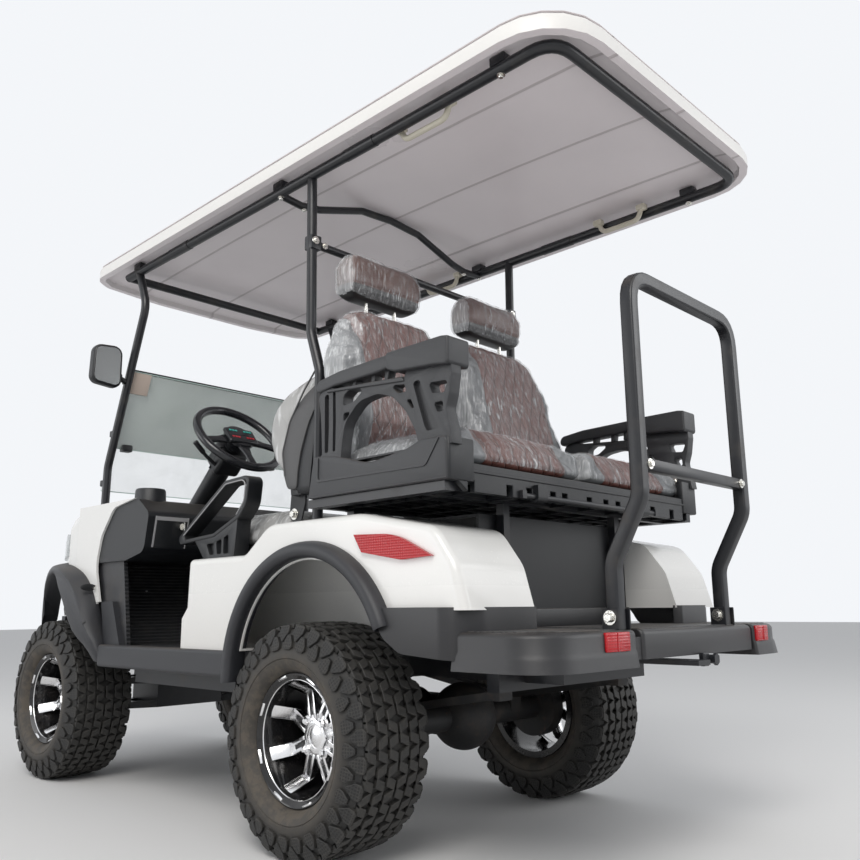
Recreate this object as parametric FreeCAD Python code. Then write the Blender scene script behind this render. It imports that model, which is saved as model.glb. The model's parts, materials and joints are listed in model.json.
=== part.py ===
import FreeCAD, Part
import math
import os

# Lifted four-seat golf cart with a rear-facing second seat, a folding windshield and a step at the back.
# Millimetres, +Z up, +Y forward, +X to the right. In this source Y is counted from the rear axle, and
# save() moves every piece so that the origin lies on the ground under the middle of the whole cart.

V = FreeCAD.Vector
os.makedirs("parts", exist_ok=True)

# Wheels and axles
WHEELBASE = 1600.0
TRACK_REAR = 986.0
TRACK_FRONT = 926.0
TYRE_R = 292.0
TYRE_W = 250.0
TREAD_W = 216.0
SHOULDER_DROP = 5.0
SHOULDER_R = 228.0
TYRE_SEAT = 76.0
BEAD_R = 152.4
RIM_W = 190.0
LIP_R = 165.0
LIP_T = 8.0
BARREL_T = 8.0
SPOKES = 8
SPOKE_W = 34.0
SPOKE_SLOT = 14.0
SPOKE_TURN = 24.0
SPOKE_T = 12.0
SPOKE_FOLD_X = 15.0
SPOKE_FOLD_R = 120.0
LUGS = 28
LUG_H = 12.0
LUG_GAP = 8.0
HUB_R = 62.0
HUB_BACK = -38.0
HUB_FACE = 18.0
HUB_WALL = 10.0
SPINDLE_R = 25.0
RUN_FIT = 0.05
DRUM_R = 95.0
DRUM_W = 50.0
DRUM_GAP = 6.0
AXLE_TUBE_R = 38.0
DIFF_R = 100.0
DIFF_X = 60.0
MOTOR_R = 80.0
MOTOR_L = 220.0
MOTOR_Y = 172.0

# Steered knuckles and their arms
KINGPIN_X = 335.0
KINGPIN_R = 14.0
ARM_BOSS_R = 26.0
ARM_T = 26.0
KNUCKLE_H = 60.0
KNUCKLE_GAP = 5.0
KNUCKLE_W = 64.0
ARM_SPREAD = 210.0
FRONT_BOX_X = 150.0

# Chassis
FLOOR_Z = 500.0
FLOOR_T = 12.0
RAIL_X = 165.0
RAIL_W = 50.0
RAIL_H = 60.0
SIDE_BEAM_X = 445.0
CROSS_H = 55.0
CROSS_W = 50.0
CROSS_REAR_Y = 475.0
CROSS_FRONT_Y = 1050.0
RAIL_REAR_Y = -560.0
SPRING_X = 270.0
SPRING_W = 50.0
SPRING_T = 20.0
SPRING_HALF = 440.0
SPRING_PAD_Z = 335.0
SPRING_RISE = 55.0

# Roof and its frame
ROOF_HALF = 562.0
ROOF_REAR_Y = -887.0
ROOF_FRONT_Y = 1513.0
ROOF_EDGE_Z = 1945.0
ROOF_FASCIA = 46.0
ROOF_CROWN = 40.0
ROOF_CROWN_IN = 150.0
ROOF_CORNER = 180.0
ROOF_LIP = 24.0
ROOF_POCKET = 22.0
TUBE_R = 15.0
TUBE_Z = 1936.0
TUBE_HALF = 486.0
TUBE_REAR_Y = -817.0
TUBE_FRONT_Y = 1285.0
TUBE_BEND = 75.0
BOW_R = 11.0
BOW_END_Y = 255.0
BOW_MID_Y = 100.0
PILLAR_R = 12.5
B_PILLAR_X = TUBE_HALF - 11.0
B_PILLAR_Y = 105.0
B_FOOT_Y = 60.0
B_BAR_Z = 1713.0
B_BAR_R = 9.0
A_TOP_Y = 1200.0
A_BEND_Y = 1130.0
A_BEND_Z = 1780.0
A_KNEE_Y = 1365.0
A_KNEE_Z = 1170.0
A_FOOT_Y = 1368.0

# Windshield and mirrors
GLASS_T = 5.0
GLASS_HALF = TUBE_HALF + 4.0
GLASS_LOW_Z = 1083.0
GLASS_HINGE_Z = 1540.0
GLASS_FOLD_Z = 1251.0
FOLD_GAP = 12.0
STRIP_BACK = 4.0
MIRROR_W = 118.0
MIRROR_H = 172.0
MIRROR_D = 34.0
MIRROR_Z = 1535.0
MIRROR_OUT = TUBE_HALF + 160.0

# Body
BODY_HALF = 585.0
SKIN = 6.0
FENDER_IN = 340.0
FENDER_TOP = 852.0
PANEL_TOP = 772.0
PANEL_FRONT_Y = 581.0
FENDER_REAR_Y = -592.0
FENDER_LOW_Z = 612.0
FENDER_ROUND = 20.0
ARCH_Y = -40.0
ARCH_Z = 440.0
ARCH_R = 305.0
FLARE_RISE = 50.0
FLARE_OUT = 38.0
COWL_HALF = BODY_HALF - 10.0
COWL_TAPER_Y = 1460.0
NOSE_HALF = 250.0
COWL_SKIN = 8.0
HOOD_ROUND = 40.0
LAMP_OUT = 8.0
HEADLAMP_LOW = 828.0
HEADLAMP_TOP = 912.0
FRONT_FLARE_OUT = 60.0
FRONT_LIP_R = 315.0
COWL_REAR_Y = 1385.0
NOSE_Y = 1985.0
FRONT_ARCH_Z = 450.0
SILL_W = 45.0
SILL_H = 74.0
SILL_FRONT_Y = 1105.0
SILL_ARM_Z = 650.0
BUMPER_Z = 450.0
BUMPER_H = 150.0
BUMPER_T = 32.0
BUMPER_HALF = 380.0
BUMPER_FLAT = BUMPER_HALF - 98
BUMPER_Y = 2020.0
BUMPER_SWEEP = 85.0
REAR_BUMPER_Z = 500.0
WELL_Y = -415.0
DECK_T = 8.0
DASH_TOP = 1000.0

# Seats
FRONT_CUSHION_Y = 665.0
FRONT_CUSHION_BACK = 245.0
FRONT_CUSHION_Z = 812.0
FRONT_CUSHION_H = 110.0
FRONT_CUSHION_HALF = 440.0
SEAT_SPLIT = 15.0
LID_PIN_R = 6.0
FRONT_BACK_HALF = FRONT_CUSHION_HALF + 15.0
REAR_BACK_HALF = BODY_HALF - 75.0
PAN_Z = 908.0
PAN_T = 42.0
PAN_HALF = BODY_HALF - 49.0
PAN_REAR_Y = -540.0
PAN_FRONT_Y = -65.0
CUSHION_H = 80.0
CUSHION_HALF = PAN_HALF - 8.0
HINGE_Y = -548.0
HINGE_Z = 888.0
HINGE_R = 8.0
FRAME_Z = 880.0
FRAME_T = 22.0
FRAME_HALF = BODY_HALF - 5.0
STRUT_X = 263.0
STRUT_Y = -440.0
STRUT_W = 24.0
ARM_PLATE_T = 34.0
ARM_TOP = 1243.0
ARM_BASE_TOP = 1020.0
HEADREST_X = 262.0
HEADREST_W = 310.0
HEADREST_LOW = 1555.0
HEADREST_TOP = 1735.0
BACK_RAIL_Z = 985.0
BACK_POST_X = 430.0

# Footplate and grab bar
STEP_HALF = 545.0
STEP_REAR_Y = -800.0
STEP_TOP = 565.0
STEP_H = 84.0
STEP_CORNER = 70.0
STEP_WALL = 8.0
GRAB_W = 32.0
GRAB_X = 265.0
GRAB_POST_Y = -845.0
GRAB_FOOT_Y = -765.0
GRAB_TOP = 1400.0
GRAB_BAR_Z = 938.0
HITCH_HOLE_R = 10.0
HITCH_T = 12.0
HITCH_W = 60.0
HITCH_REACH = 38.0
NOTCH_GAP = 2.0

FRONT_AXLE_Y = WHEELBASE
bumper_back = BUMPER_Y - BUMPER_T
AXLE_Z = TYRE_R
SHIFT_Y = -(BUMPER_Y + ROOF_REAR_Y) / 2
RAIL_TOP = FLOOR_Z - FLOOR_T
RAIL_LOW = RAIL_TOP - RAIL_H
CROSS_LOW = RAIL_LOW - CROSS_H
SILL_TOP = FLOOR_Z + 4.0
SILL_IN = BODY_HALF + 15.0 - SILL_W


# Shape helpers
def box(x0, x1, y0, y1, z0, z1):
    return Part.makeBox(x1 - x0, y1 - y0, z1 - z0, V(x0, y0, z0))


def rod(start, end, r):
    return Part.makeCylinder(r, (end - start).Length, start, end - start)


def wire(place, corners):
    # a closed outline of straight sides; a third value in a corner rounds it to that radius
    pts = [place(c[0], c[1]) for c in corners]
    turns = []
    for i, b in enumerate(pts):
        a = pts[i - 1]
        c = pts[(i + 1) % len(pts)]
        if len(corners[i]) == 2:
            turns.append((b, None, b))
            continue
        u = (a - b).normalize()
        w = (c - b).normalize()
        half = u.getAngle(w) / 2
        r = corners[i][2]
        middle = b + (u + w).normalize() * (r / math.sin(half) - r)
        turns.append((b + u * (r / math.tan(half)), middle, b + w * (r / math.tan(half))))
    edges = []
    for i, (start, middle, end) in enumerate(turns):
        if middle is not None:
            edges.append(Part.Arc(start, middle, end).toShape())
        following = turns[(i + 1) % len(turns)][0]
        if (following - end).Length > 0.001:
            edges.append(Part.LineSegment(end, following).toShape())
    return Part.Wire(edges)


def yz(a, b):
    return V(0, a, b)


def xy(a, b):
    return V(a, b, 0)


def side(corners, x0, x1):
    face = Part.Face(wire(yz, corners))
    face.translate(V(x0, 0, 0))
    return face.extrude(V(x1 - x0, 0, 0))


def plan(corners, z0, z1):
    face = Part.Face(wire(xy, corners))
    face.translate(V(0, 0, z0))
    return face.extrude(V(0, 0, z1 - z0))


def mirrored(shape):
    return shape.mirror(V(0, 0, 0), V(1, 0, 0))


def both(shape):
    return Part.makeCompound([shape, mirrored(shape)])


def pipe(points, bend, r):
    # a round tube through the points, with each corner turned at the bend radius
    pts = [V(*p) for p in points]
    edges = []
    here = pts[0]
    for a, b, c in zip(pts, pts[1:], pts[2:]):
        u = (a - b).normalize()
        w = (c - b).normalize()
        half = u.getAngle(w) / 2
        cut = min(bend / math.tan(half), 0.48 * (a - b).Length, 0.48 * (c - b).Length)
        p = b + u * cut
        q = b + w * cut
        m = (u + w).normalize()
        reach = cut / math.cos(half)
        turn_r = cut * math.tan(half)
        edges.append(Part.LineSegment(here, p).toShape())
        edges.append(Part.Arc(p, b + m * (reach - turn_r), q).toShape())
        here = q
    edges.append(Part.LineSegment(here, pts[-1]).toShape())
    ring = Part.Wire(Part.makeCircle(r, pts[0], pts[1] - pts[0]))
    return Part.Wire(edges).makePipeShell([ring], True, True)


def rounded(shape, r, keep):
    edges = [e for e in shape.Edges if keep(e)]
    return shape.makeFillet(r, edges)


def save(name, shape):
    placed = shape.copy()
    placed.translate(V(0, SHIFT_Y, 0))
    placed.exportStep("parts/" + name + ".step")


# Tyre and rim, turned about X with the outside face towards +X
def turned(corners):
    return Part.Face(wire(xy, corners)).revolve(V(0, 0, 0), V(1, 0, 0), 360)


def at_angle(corner, slot):
    # a corner (x, radius) of the tyre's section, turned to one of its 2 * LUGS slots
    turn = math.pi * slot / LUGS
    return V(corner[0], corner[1] * math.cos(turn), corner[1] * math.sin(turn))


def flat_face(points):
    return Part.Face(Part.makePolygon(points + points[:1]))


def tyre():
    # flat-sided slots all round; each has a lug on one half of the tread and a groove on the other
    w = TYRE_W / 2
    t = TREAD_W / 2
    base = TYRE_R - LUG_H
    bead = (BEAD_R + 0.1) / math.cos(math.pi / LUGS / 2)
    groove = [(w, SHOULDER_R), (t - 8, base), (LUG_GAP, base)]
    lug = [(w, SHOULDER_R), (t - 6, TYRE_R - SHOULDER_DROP), (LUG_GAP, TYRE_R), (LUG_GAP, base)]
    faces = []
    for i in range(2 * LUGS):
        s = 1 if i % 2 else -1
        ring = [(s * x, r) for x, r in [(TYRE_SEAT, bead)] + lug]
        ring += [(-s * x, r) for x, r in reversed([(TYRE_SEAT, bead)] + groove)]
        for a, b in zip(ring, ring[1:] + ring[:1]):
            faces.append(flat_face([at_angle(a, i), at_angle(b, i), at_angle(b, i + 1), at_angle(a, i + 1)]))
        for s in (-1, 1):
            faces.append(flat_face([at_angle((s * x, r), i) for x, r in lug + [groove[1]]]))
    shell = Part.makeShell(faces)
    shell.sewShape()
    return Part.makeSolid(shell)


def rim():
    e = RIM_W / 2
    inner = BEAD_R - BARREL_T
    barrel = turned([(-e, inner), (-e, LIP_R), (-e + LIP_T, LIP_R), (-e + LIP_T, BEAD_R), (e - LIP_T, BEAD_R),
                     (e - LIP_T, LIP_R), (e, LIP_R), (e, inner)])
    hub = rod(V(HUB_BACK, 0, 0), V(HUB_FACE, 0, 0), HUB_R)
    shape = barrel.fuse(hub)
    # one spoke: a flat pad from the lip in to its fold, then two ribs down to the hub, as (x, radius)
    back = SPOKE_FOLD_X - 2 * SPOKE_T
    blade = Part.Face(wire(xy, [(e - 3, inner + 1), (SPOKE_FOLD_X, SPOKE_FOLD_R), (SPOKE_FOLD_X, HUB_R - 4),
                                (back, HUB_R - 4), (back, SPOKE_FOLD_R - 8), (e - 45, inner + 1)]))
    blade.translate(V(0, 0, -SPOKE_W / 2))
    blade = blade.extrude(V(0, 0, SPOKE_W))
    blade = blade.cut(box(-SPOKE_FOLD_X, 2 * SPOKE_FOLD_X, HUB_R + 4, SPOKE_FOLD_R - 6,
                          -SPOKE_SLOT / 2, SPOKE_SLOT / 2))
    for i in range(SPOKES):
        one = blade.copy()
        one.rotate(V(0, 0, 0), V(1, 0, 0), SPOKE_TURN + i * 360 / SPOKES)
        shape = shape.fuse(one)
    bore = rod(V(HUB_BACK - 1, 0, 0), V(HUB_FACE - HUB_WALL, 0, 0), SPINDLE_R + RUN_FIT)
    return shape.cut(bore).removeSplitter()


# name, half track, axle Y
WHEELS = [
    ("front_left", -TRACK_FRONT / 2, FRONT_AXLE_Y),
    ("front_right", TRACK_FRONT / 2, FRONT_AXLE_Y),
    ("rear_left", -TRACK_REAR / 2, 0),
    ("rear_right", TRACK_REAR / 2, 0),
]
rim_shape = rim()
tyre_shape = tyre()
for name, x, y in WHEELS:
    for kind, shape in (("rim", rim_shape), ("tyre", tyre_shape)):
        one = shape.copy()
        if x < 0:
            one = mirrored(one)
        one.translate(V(x, y, AXLE_Z))
        save(kind + "_" + name, one)

# Rear axle: tube, spindles, brake drums, differential, gear case with the drive motor, and spring pads
rear_hub_back = TRACK_REAR / 2 + HUB_BACK
spindle_end = TRACK_REAR / 2 + HUB_FACE - HUB_WALL - 2
axle = rod(V(-rear_hub_back + DRUM_GAP + DRUM_W, 0, AXLE_Z), V(rear_hub_back - DRUM_GAP - DRUM_W, 0, AXLE_Z),
           AXLE_TUBE_R)
axle = axle.fuse(rod(V(-spindle_end, 0, AXLE_Z), V(spindle_end, 0, AXLE_Z), SPINDLE_R))
axle = axle.fuse(Part.makeSphere(DIFF_R, V(DIFF_X, 0, AXLE_Z)))
for s in (-1, 1):
    near = s * (rear_hub_back - DRUM_GAP - DRUM_W)
    far = s * (rear_hub_back - DRUM_GAP)
    axle = axle.fuse(rod(V(near, 0, AXLE_Z), V(far, 0, AXLE_Z), DRUM_R))
    axle = axle.fuse(box(s * SPRING_X - SPRING_W / 2, s * SPRING_X + SPRING_W / 2, -40, 40,
                         AXLE_Z, SPRING_PAD_Z))
motor_x = DIFF_X - 30
axle = axle.fuse(box(motor_x, motor_x + 50, 0, MOTOR_Y, AXLE_Z - 60, AXLE_Z + 60))
motor = rod(V(motor_x - MOTOR_L, MOTOR_Y, AXLE_Z), V(motor_x + 5, MOTOR_Y, AXLE_Z), MOTOR_R)
axle = axle.fuse(motor)
save("rear_axle", axle.removeSplitter())

# Leaf springs, seated on the axle pads and under the hangers of the chassis
low = SPRING_PAD_Z
high = low + SPRING_RISE
flat = SPRING_HALF - 40
lower = [(-SPRING_HALF, high), (-flat, high, 60), (-60, low, 300), (60, low, 300), (flat, high, 60),
         (SPRING_HALF, high)]
upper = [(c[0], c[1] + SPRING_T) + c[2:] for c in reversed(lower)]
spring = side(lower + upper, SPRING_X - SPRING_W / 2, SPRING_X + SPRING_W / 2)
save("rear_leaf_springs", both(spring))

# Chassis: two long rails, side beams, cross members and spring hangers
frame = box(RAIL_X - RAIL_W / 2, RAIL_X + RAIL_W / 2, RAIL_REAR_Y, bumper_back, RAIL_LOW, RAIL_TOP)
frame = frame.fuse(mirrored(frame))
beam_out = SIDE_BEAM_X + CROSS_W / 2
beam_in = SIDE_BEAM_X - CROSS_W / 2
frame = frame.fuse(box(beam_in, beam_out, CROSS_REAR_Y, CROSS_FRONT_Y, CROSS_LOW, RAIL_LOW))
frame = frame.fuse(box(-beam_out, -beam_in, CROSS_REAR_Y, CROSS_FRONT_Y, CROSS_LOW, RAIL_LOW))
for y in (CROSS_REAR_Y, CROSS_FRONT_Y):
    frame = frame.fuse(box(-beam_out, beam_out, y - CROSS_W / 2, y + CROSS_W / 2, CROSS_LOW, RAIL_LOW))
for y in (-SPRING_HALF + 20, SPRING_HALF - 20):
    frame = frame.fuse(box(-SPRING_X - SPRING_W / 2, SPRING_X + SPRING_W / 2, y - 20, y + 20,
                           high + SPRING_T, RAIL_TOP - 20))
frame = frame.fuse(box(-RAIL_X, RAIL_X, RAIL_REAR_Y, RAIL_REAR_Y + CROSS_W, RAIL_LOW, RAIL_TOP))

# Arms under the footplate, with the tow tab between them
step_front = WELL_Y - DECK_T
step_arm_top = STEP_TOP - STEP_WALL
arm_rear = STEP_REAR_Y + 2 * STEP_WALL
for s in (-1, 1):
    frame = frame.fuse(box(s * GRAB_X - 20, s * GRAB_X + 20, arm_rear, step_front - 3 * STEP_WALL,
                           step_arm_top - 40, step_arm_top))
tie_y = RAIL_REAR_Y + CROSS_W
frame = frame.fuse(box(-GRAB_X, GRAB_X, RAIL_REAR_Y, tie_y, RAIL_TOP - 4, step_arm_top))
frame = frame.fuse(box(-HITCH_W / 2, HITCH_W / 2, STEP_REAR_Y - HITCH_REACH, tie_y, RAIL_TOP - HITCH_T, RAIL_TOP))
hole_y = STEP_REAR_Y - HITCH_REACH / 2 + 2
frame = frame.cut(rod(V(0, hole_y, RAIL_TOP - HITCH_T - 1), V(0, hole_y, RAIL_TOP + 1), HITCH_HOLE_R))
save("chassis_frame", frame.removeSplitter())

# Front suspension: a box between the rails with upper and lower arms to the kingpins
knuckle_low = AXLE_Z - KNUCKLE_H / 2
knuckle_top = AXLE_Z + KNUCKLE_H / 2
arm_levels = (knuckle_low - KNUCKLE_GAP - ARM_T, knuckle_top + KNUCKLE_GAP)
front = box(-FRONT_BOX_X, FRONT_BOX_X, FRONT_AXLE_Y - ARM_SPREAD / 2, FRONT_AXLE_Y + ARM_SPREAD / 2,
            arm_levels[0], RAIL_LOW)
for z in arm_levels:
    y0 = FRONT_AXLE_Y - ARM_SPREAD / 2
    y1 = FRONT_AXLE_Y + ARM_SPREAD / 2
    arm = plan([(FRONT_BOX_X - 5, y0), (KINGPIN_X, FRONT_AXLE_Y - ARM_BOSS_R),
                (KINGPIN_X, FRONT_AXLE_Y + ARM_BOSS_R), (FRONT_BOX_X - 5, y1), (FRONT_BOX_X - 5, y1 - 34),
                (KINGPIN_X - 70, FRONT_AXLE_Y), (FRONT_BOX_X - 5, y0 + 34)], z, z + ARM_T)
    arm = arm.fuse(rod(V(KINGPIN_X, FRONT_AXLE_Y, z), V(KINGPIN_X, FRONT_AXLE_Y, z + ARM_T), ARM_BOSS_R))
    arm = arm.cut(rod(V(KINGPIN_X, FRONT_AXLE_Y, z - 1), V(KINGPIN_X, FRONT_AXLE_Y, z + ARM_T + 1),
                      KINGPIN_R + RUN_FIT))
    front = front.fuse(arm).fuse(mirrored(arm))
save("front_suspension", front.removeSplitter())

# Knuckles: kingpin, upright, brake disc and spindle
front_hub_back = TRACK_FRONT / 2 + HUB_BACK
front_spindle_end = TRACK_FRONT / 2 + HUB_FACE - HUB_WALL - 2
disc_out = front_hub_back - DRUM_GAP
knuckle = rod(V(KINGPIN_X, FRONT_AXLE_Y, arm_levels[0]), V(KINGPIN_X, FRONT_AXLE_Y, arm_levels[1] + ARM_T),
              KINGPIN_R)
knuckle = knuckle.fuse(rod(V(KINGPIN_X, FRONT_AXLE_Y, knuckle_low), V(KINGPIN_X, FRONT_AXLE_Y, knuckle_top),
                           ARM_BOSS_R))
knuckle = knuckle.fuse(box(KINGPIN_X, disc_out - 10, FRONT_AXLE_Y - KNUCKLE_W / 2,
                           FRONT_AXLE_Y + KNUCKLE_W / 2, knuckle_low, knuckle_top))
knuckle = knuckle.fuse(rod(V(disc_out - 16, FRONT_AXLE_Y, AXLE_Z), V(disc_out, FRONT_AXLE_Y, AXLE_Z), DRUM_R))
knuckle = knuckle.fuse(rod(V(disc_out - 16, FRONT_AXLE_Y, AXLE_Z), V(front_spindle_end, FRONT_AXLE_Y, AXLE_Z),
                           SPINDLE_R))
knuckle = knuckle.removeSplitter()
save("knuckle_left", mirrored(knuckle))
save("knuckle_right", knuckle)

# Floor pan with its toe board and kick panels
toe_y = 1190.0
toe_top_y = 1310.0
toe_top_z = 790.0
front_y = PANEL_FRONT_Y - 21
floor_half = SILL_IN
floor_pan = side([(front_y - 20, RAIL_TOP), (toe_y, RAIL_TOP), (toe_top_y, toe_top_z), (toe_top_y - 12, toe_top_z),
                  (toe_y - 10, FLOOR_Z), (front_y - 20, FLOOR_Z)], -floor_half, floor_half)
kick = side([(985, FLOOR_Z - 2), (1045, toe_top_z), (toe_top_y - 6, toe_top_z), (toe_y - 6, FLOOR_Z - 2)],
            floor_half - 14, floor_half)
floor_pan = floor_pan.fuse(kick).fuse(mirrored(kick))
save("floor_pan", floor_pan.removeSplitter())

# Sills between the wheel arches
flare_front_y = ARCH_Y + ARCH_R + FLARE_RISE
sill = box(SILL_IN, SILL_IN + SILL_W, flare_front_y + 3, SILL_FRONT_Y, SILL_TOP - SILL_H, SILL_TOP)
sill = rounded(sill, 10, lambda e: e.BoundBox.YLength > 100 and e.CenterOfMass.x > SILL_IN + 10)
sill_arm = side([(SILL_FRONT_Y - 105, SILL_TOP - 4), (SILL_FRONT_Y - 34, SILL_ARM_Z), (SILL_FRONT_Y + 52, SILL_ARM_Z),
                 (SILL_FRONT_Y, SILL_TOP - 60), (SILL_FRONT_Y - 80, SILL_TOP - 60)], SILL_IN, COWL_HALF)
sill = sill.fuse(sill_arm)
save("sills", both(sill))

# Rear fenders with the side panels under the front seat, hollow over the wheels
panel_low = SILL_TOP
fender_side = [(PANEL_FRONT_Y, panel_low), (PANEL_FRONT_Y, 592), (front_y + 6, 608),
               (front_y, PANEL_TOP, 12), (262, PANEL_TOP, 60), (150, FENDER_TOP, 90), (-235, FENDER_TOP, 300),
               (-495, 802, 70), (-562, 715, 80), (FENDER_REAR_Y, FENDER_LOW_Z), (-200, FENDER_LOW_Z),
               (-200, panel_low)]
outer = side(fender_side, -BODY_HALF, -FENDER_IN)
outer = rounded(outer, FENDER_ROUND, lambda e: e.CenterOfMass.x < -BODY_HALF + 1
                and e.CenterOfMass.z > 640 and e.CenterOfMass.y < front_y - 5)
inside = Part.Face(wire(yz, fender_side)).makeOffset2D(-SKIN)
inside.translate(V(-BODY_HALF + SKIN, 0, 0))
inside = inside.extrude(V(BODY_HALF - FENDER_IN - 2 * SKIN, 0, 0))
arch = rod(V(-BODY_HALF - 5, ARCH_Y, ARCH_Z), V(-FENDER_IN - SKIN, ARCH_Y, ARCH_Z), ARCH_R)
fender = outer.cut(inside).cut(arch)
save("rear_fenders", both(fender.removeSplitter()))

# Flares on the rear arches
flare_r = ARCH_R + FLARE_RISE
tail = FENDER_LOW_Z
leg = SILL_TOP - SILL_H


def arch_ring(inner_r, outer_r, x0, x1):
    centre = V(x0, ARCH_Y, ARCH_Z)
    ring = Part.makeCylinder(outer_r, x1 - x0, centre, V(1, 0, 0))
    ring = ring.fuse(box(x0, x1, ARCH_Y, ARCH_Y + outer_r, leg, ARCH_Z))
    ring = ring.cut(Part.makeCylinder(inner_r, x1 - x0, centre, V(1, 0, 0)))
    ring = ring.cut(box(x0, x1, ARCH_Y - outer_r, ARCH_Y + inner_r, leg - 100, ARCH_Z))
    ring = ring.cut(box(x0, x1, ARCH_Y - outer_r - 1, ARCH_Y, leg - 100, tail))
    return ring.cut(box(x0, x1, ARCH_Y - outer_r, ARCH_Y + outer_r, ARCH_Z - outer_r - 1, leg)).removeSplitter()


flare = arch_ring(ARCH_R, flare_r, BODY_HALF, BODY_HALF + FLARE_OUT)
flare = rounded(flare, 12, lambda e: e.CenterOfMass.x > BODY_HALF + FLARE_OUT - 1 and e.Length > 400)

# Front cowl: hood, front fenders and the strips that run back beside the dashboard
COWL_LOW = BUMPER_Z + BUMPER_H
cowl_strip = [(1165, COWL_LOW), (1173, SILL_ARM_Z), (1222, 780, 120), (1193, 885, 100), (1108, 981, 60),
              (950, DASH_TOP + 3), (COWL_REAR_Y, DASH_TOP + 3), (COWL_REAR_Y, COWL_LOW)]
# hood sections: Y, half width, top Z
HOOD = [
    (COWL_REAR_Y, COWL_HALF, DASH_TOP + 3),
    (COWL_TAPER_Y, COWL_HALF - 4, DASH_TOP - 17),
    (COWL_TAPER_Y + 140, COWL_HALF - 58, 940),
    (COWL_TAPER_Y + 270, COWL_HALF - 112, 905),
    (COWL_TAPER_Y + 400, COWL_HALF - 168, 845),
    (NOSE_Y - 40, NOSE_HALF + 95, 785),
    (NOSE_Y, NOSE_HALF + 10, 700),
]


def hood_form(wall, low):
    rings = []
    for y, half, top in HOOD:
        w = half - wall
        t = top - wall
        edge = [(w, low), (w, t - HOOD_ROUND * 1.3), (w - HOOD_ROUND * 0.35, t - HOOD_ROUND * 0.45),
                (w - HOOD_ROUND * 1.3, t)]
        ring = edge + [(-x, z) for x, z in reversed(edge)]
        y = min(y, NOSE_Y - wall)
        rings.append(Part.makePolygon([V(x, y, z) for x, z in ring + ring[:1]]))
    return Part.makeLoft(rings, True, True)


side_in = COWL_HALF - COWL_SKIN
cowl_solid = hood_form(0, COWL_LOW)
cowl = cowl_solid.fuse(side(cowl_strip, side_in, COWL_HALF)).fuse(side(cowl_strip, -COWL_HALF, -side_in))
cowl = cowl.cut(hood_form(COWL_SKIN, COWL_LOW - 1))
cowl = cowl.cut(box(-COWL_HALF - 1, COWL_HALF + 1, 1100, 1195, COWL_LOW - 1, SILL_ARM_Z))
cowl = cowl.cut(rod(V(-COWL_HALF - 1, FRONT_AXLE_Y, FRONT_ARCH_Z), V(COWL_HALF + 1, FRONT_AXLE_Y, FRONT_ARCH_Z),
                    FRONT_LIP_R))
save("front_cowl", cowl.removeSplitter())

# Flares on the front arches: a root against the body and a narrower crest, both as (Y, Z)
flare_root = [(1125, 442), (1106, 486), (1144, 500), (1165, 561), (1201, 649, 60), (1260, 730, 80), (1390, 796, 120),
              (1600, 818, 300), (1800, 790, 120), (1890, 700, 60), (1905, 620), (1700, 470)]
flare_crest = [(1110, 438), (1112, 486), (1150, 540), (1183, 591, 60), (1270, 700, 80), (1400, 778, 120),
               (1600, 803, 300), (1790, 770, 120), (1870, 690, 60), (1885, 620), (1700, 470)]
flare_end = COWL_HALF + FRONT_FLARE_OUT
front_flare = side(flare_root, COWL_HALF - 200, COWL_HALF + FRONT_FLARE_OUT / 2)
front_flare = front_flare.fuse(side(flare_crest, COWL_HALF - 200, flare_end))
front_flare = front_flare.common(plan([(COWL_HALF - 190, 1100), (COWL_HALF - 190, 1920), (flare_end - 150, 1920),
                                       (flare_end, COWL_TAPER_Y + 70, 200), (flare_end, 1100)], 400, 900))
front_flare = front_flare.cut(rod(V(COWL_HALF - 201, FRONT_AXLE_Y, FRONT_ARCH_Z),
                                  V(flare_end + 1, FRONT_AXLE_Y, FRONT_ARCH_Z), FRONT_LIP_R))
front_flare = front_flare.cut(box(COWL_HALF - 201, flare_end + 1, 1180, 1920, 400, FRONT_ARCH_Z + 60))
front_flare = front_flare.cut(box(COWL_HALF - 201, COWL_HALF, 1090, COWL_REAR_Y + 1, 400, 900)).cut(cowl_solid)
front_flare = max(front_flare.Solids, key=lambda f: f.Volume)
save("wheel_flares", both(flare.fuse(front_flare)))

# Front bumper, joined to the rails
bumper_end = BUMPER_Y - BUMPER_SWEEP
bumper = plan([(-BUMPER_HALF, bumper_end), (-BUMPER_FLAT, BUMPER_Y, 260), (BUMPER_FLAT, BUMPER_Y, 260),
               (BUMPER_HALF, bumper_end), (BUMPER_HALF, bumper_end - BUMPER_T),
               (BUMPER_FLAT, bumper_back, 230), (-BUMPER_FLAT, bumper_back, 230),
               (-BUMPER_HALF, bumper_end - BUMPER_T)], BUMPER_Z, COWL_LOW - 2)
save("front_bumper", bumper)

# Dashboard
dash_half = COWL_HALF - COWL_SKIN
dash = side([(toe_top_y - 12, toe_top_z), (COWL_REAR_Y, toe_top_z), (COWL_REAR_Y, DASH_TOP), (940, DASH_TOP, 30),
             (862, 945, 25), (885, 815, 40), (1010, toe_top_z)], -dash_half, dash_half)
save("dashboard", dash)

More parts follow.
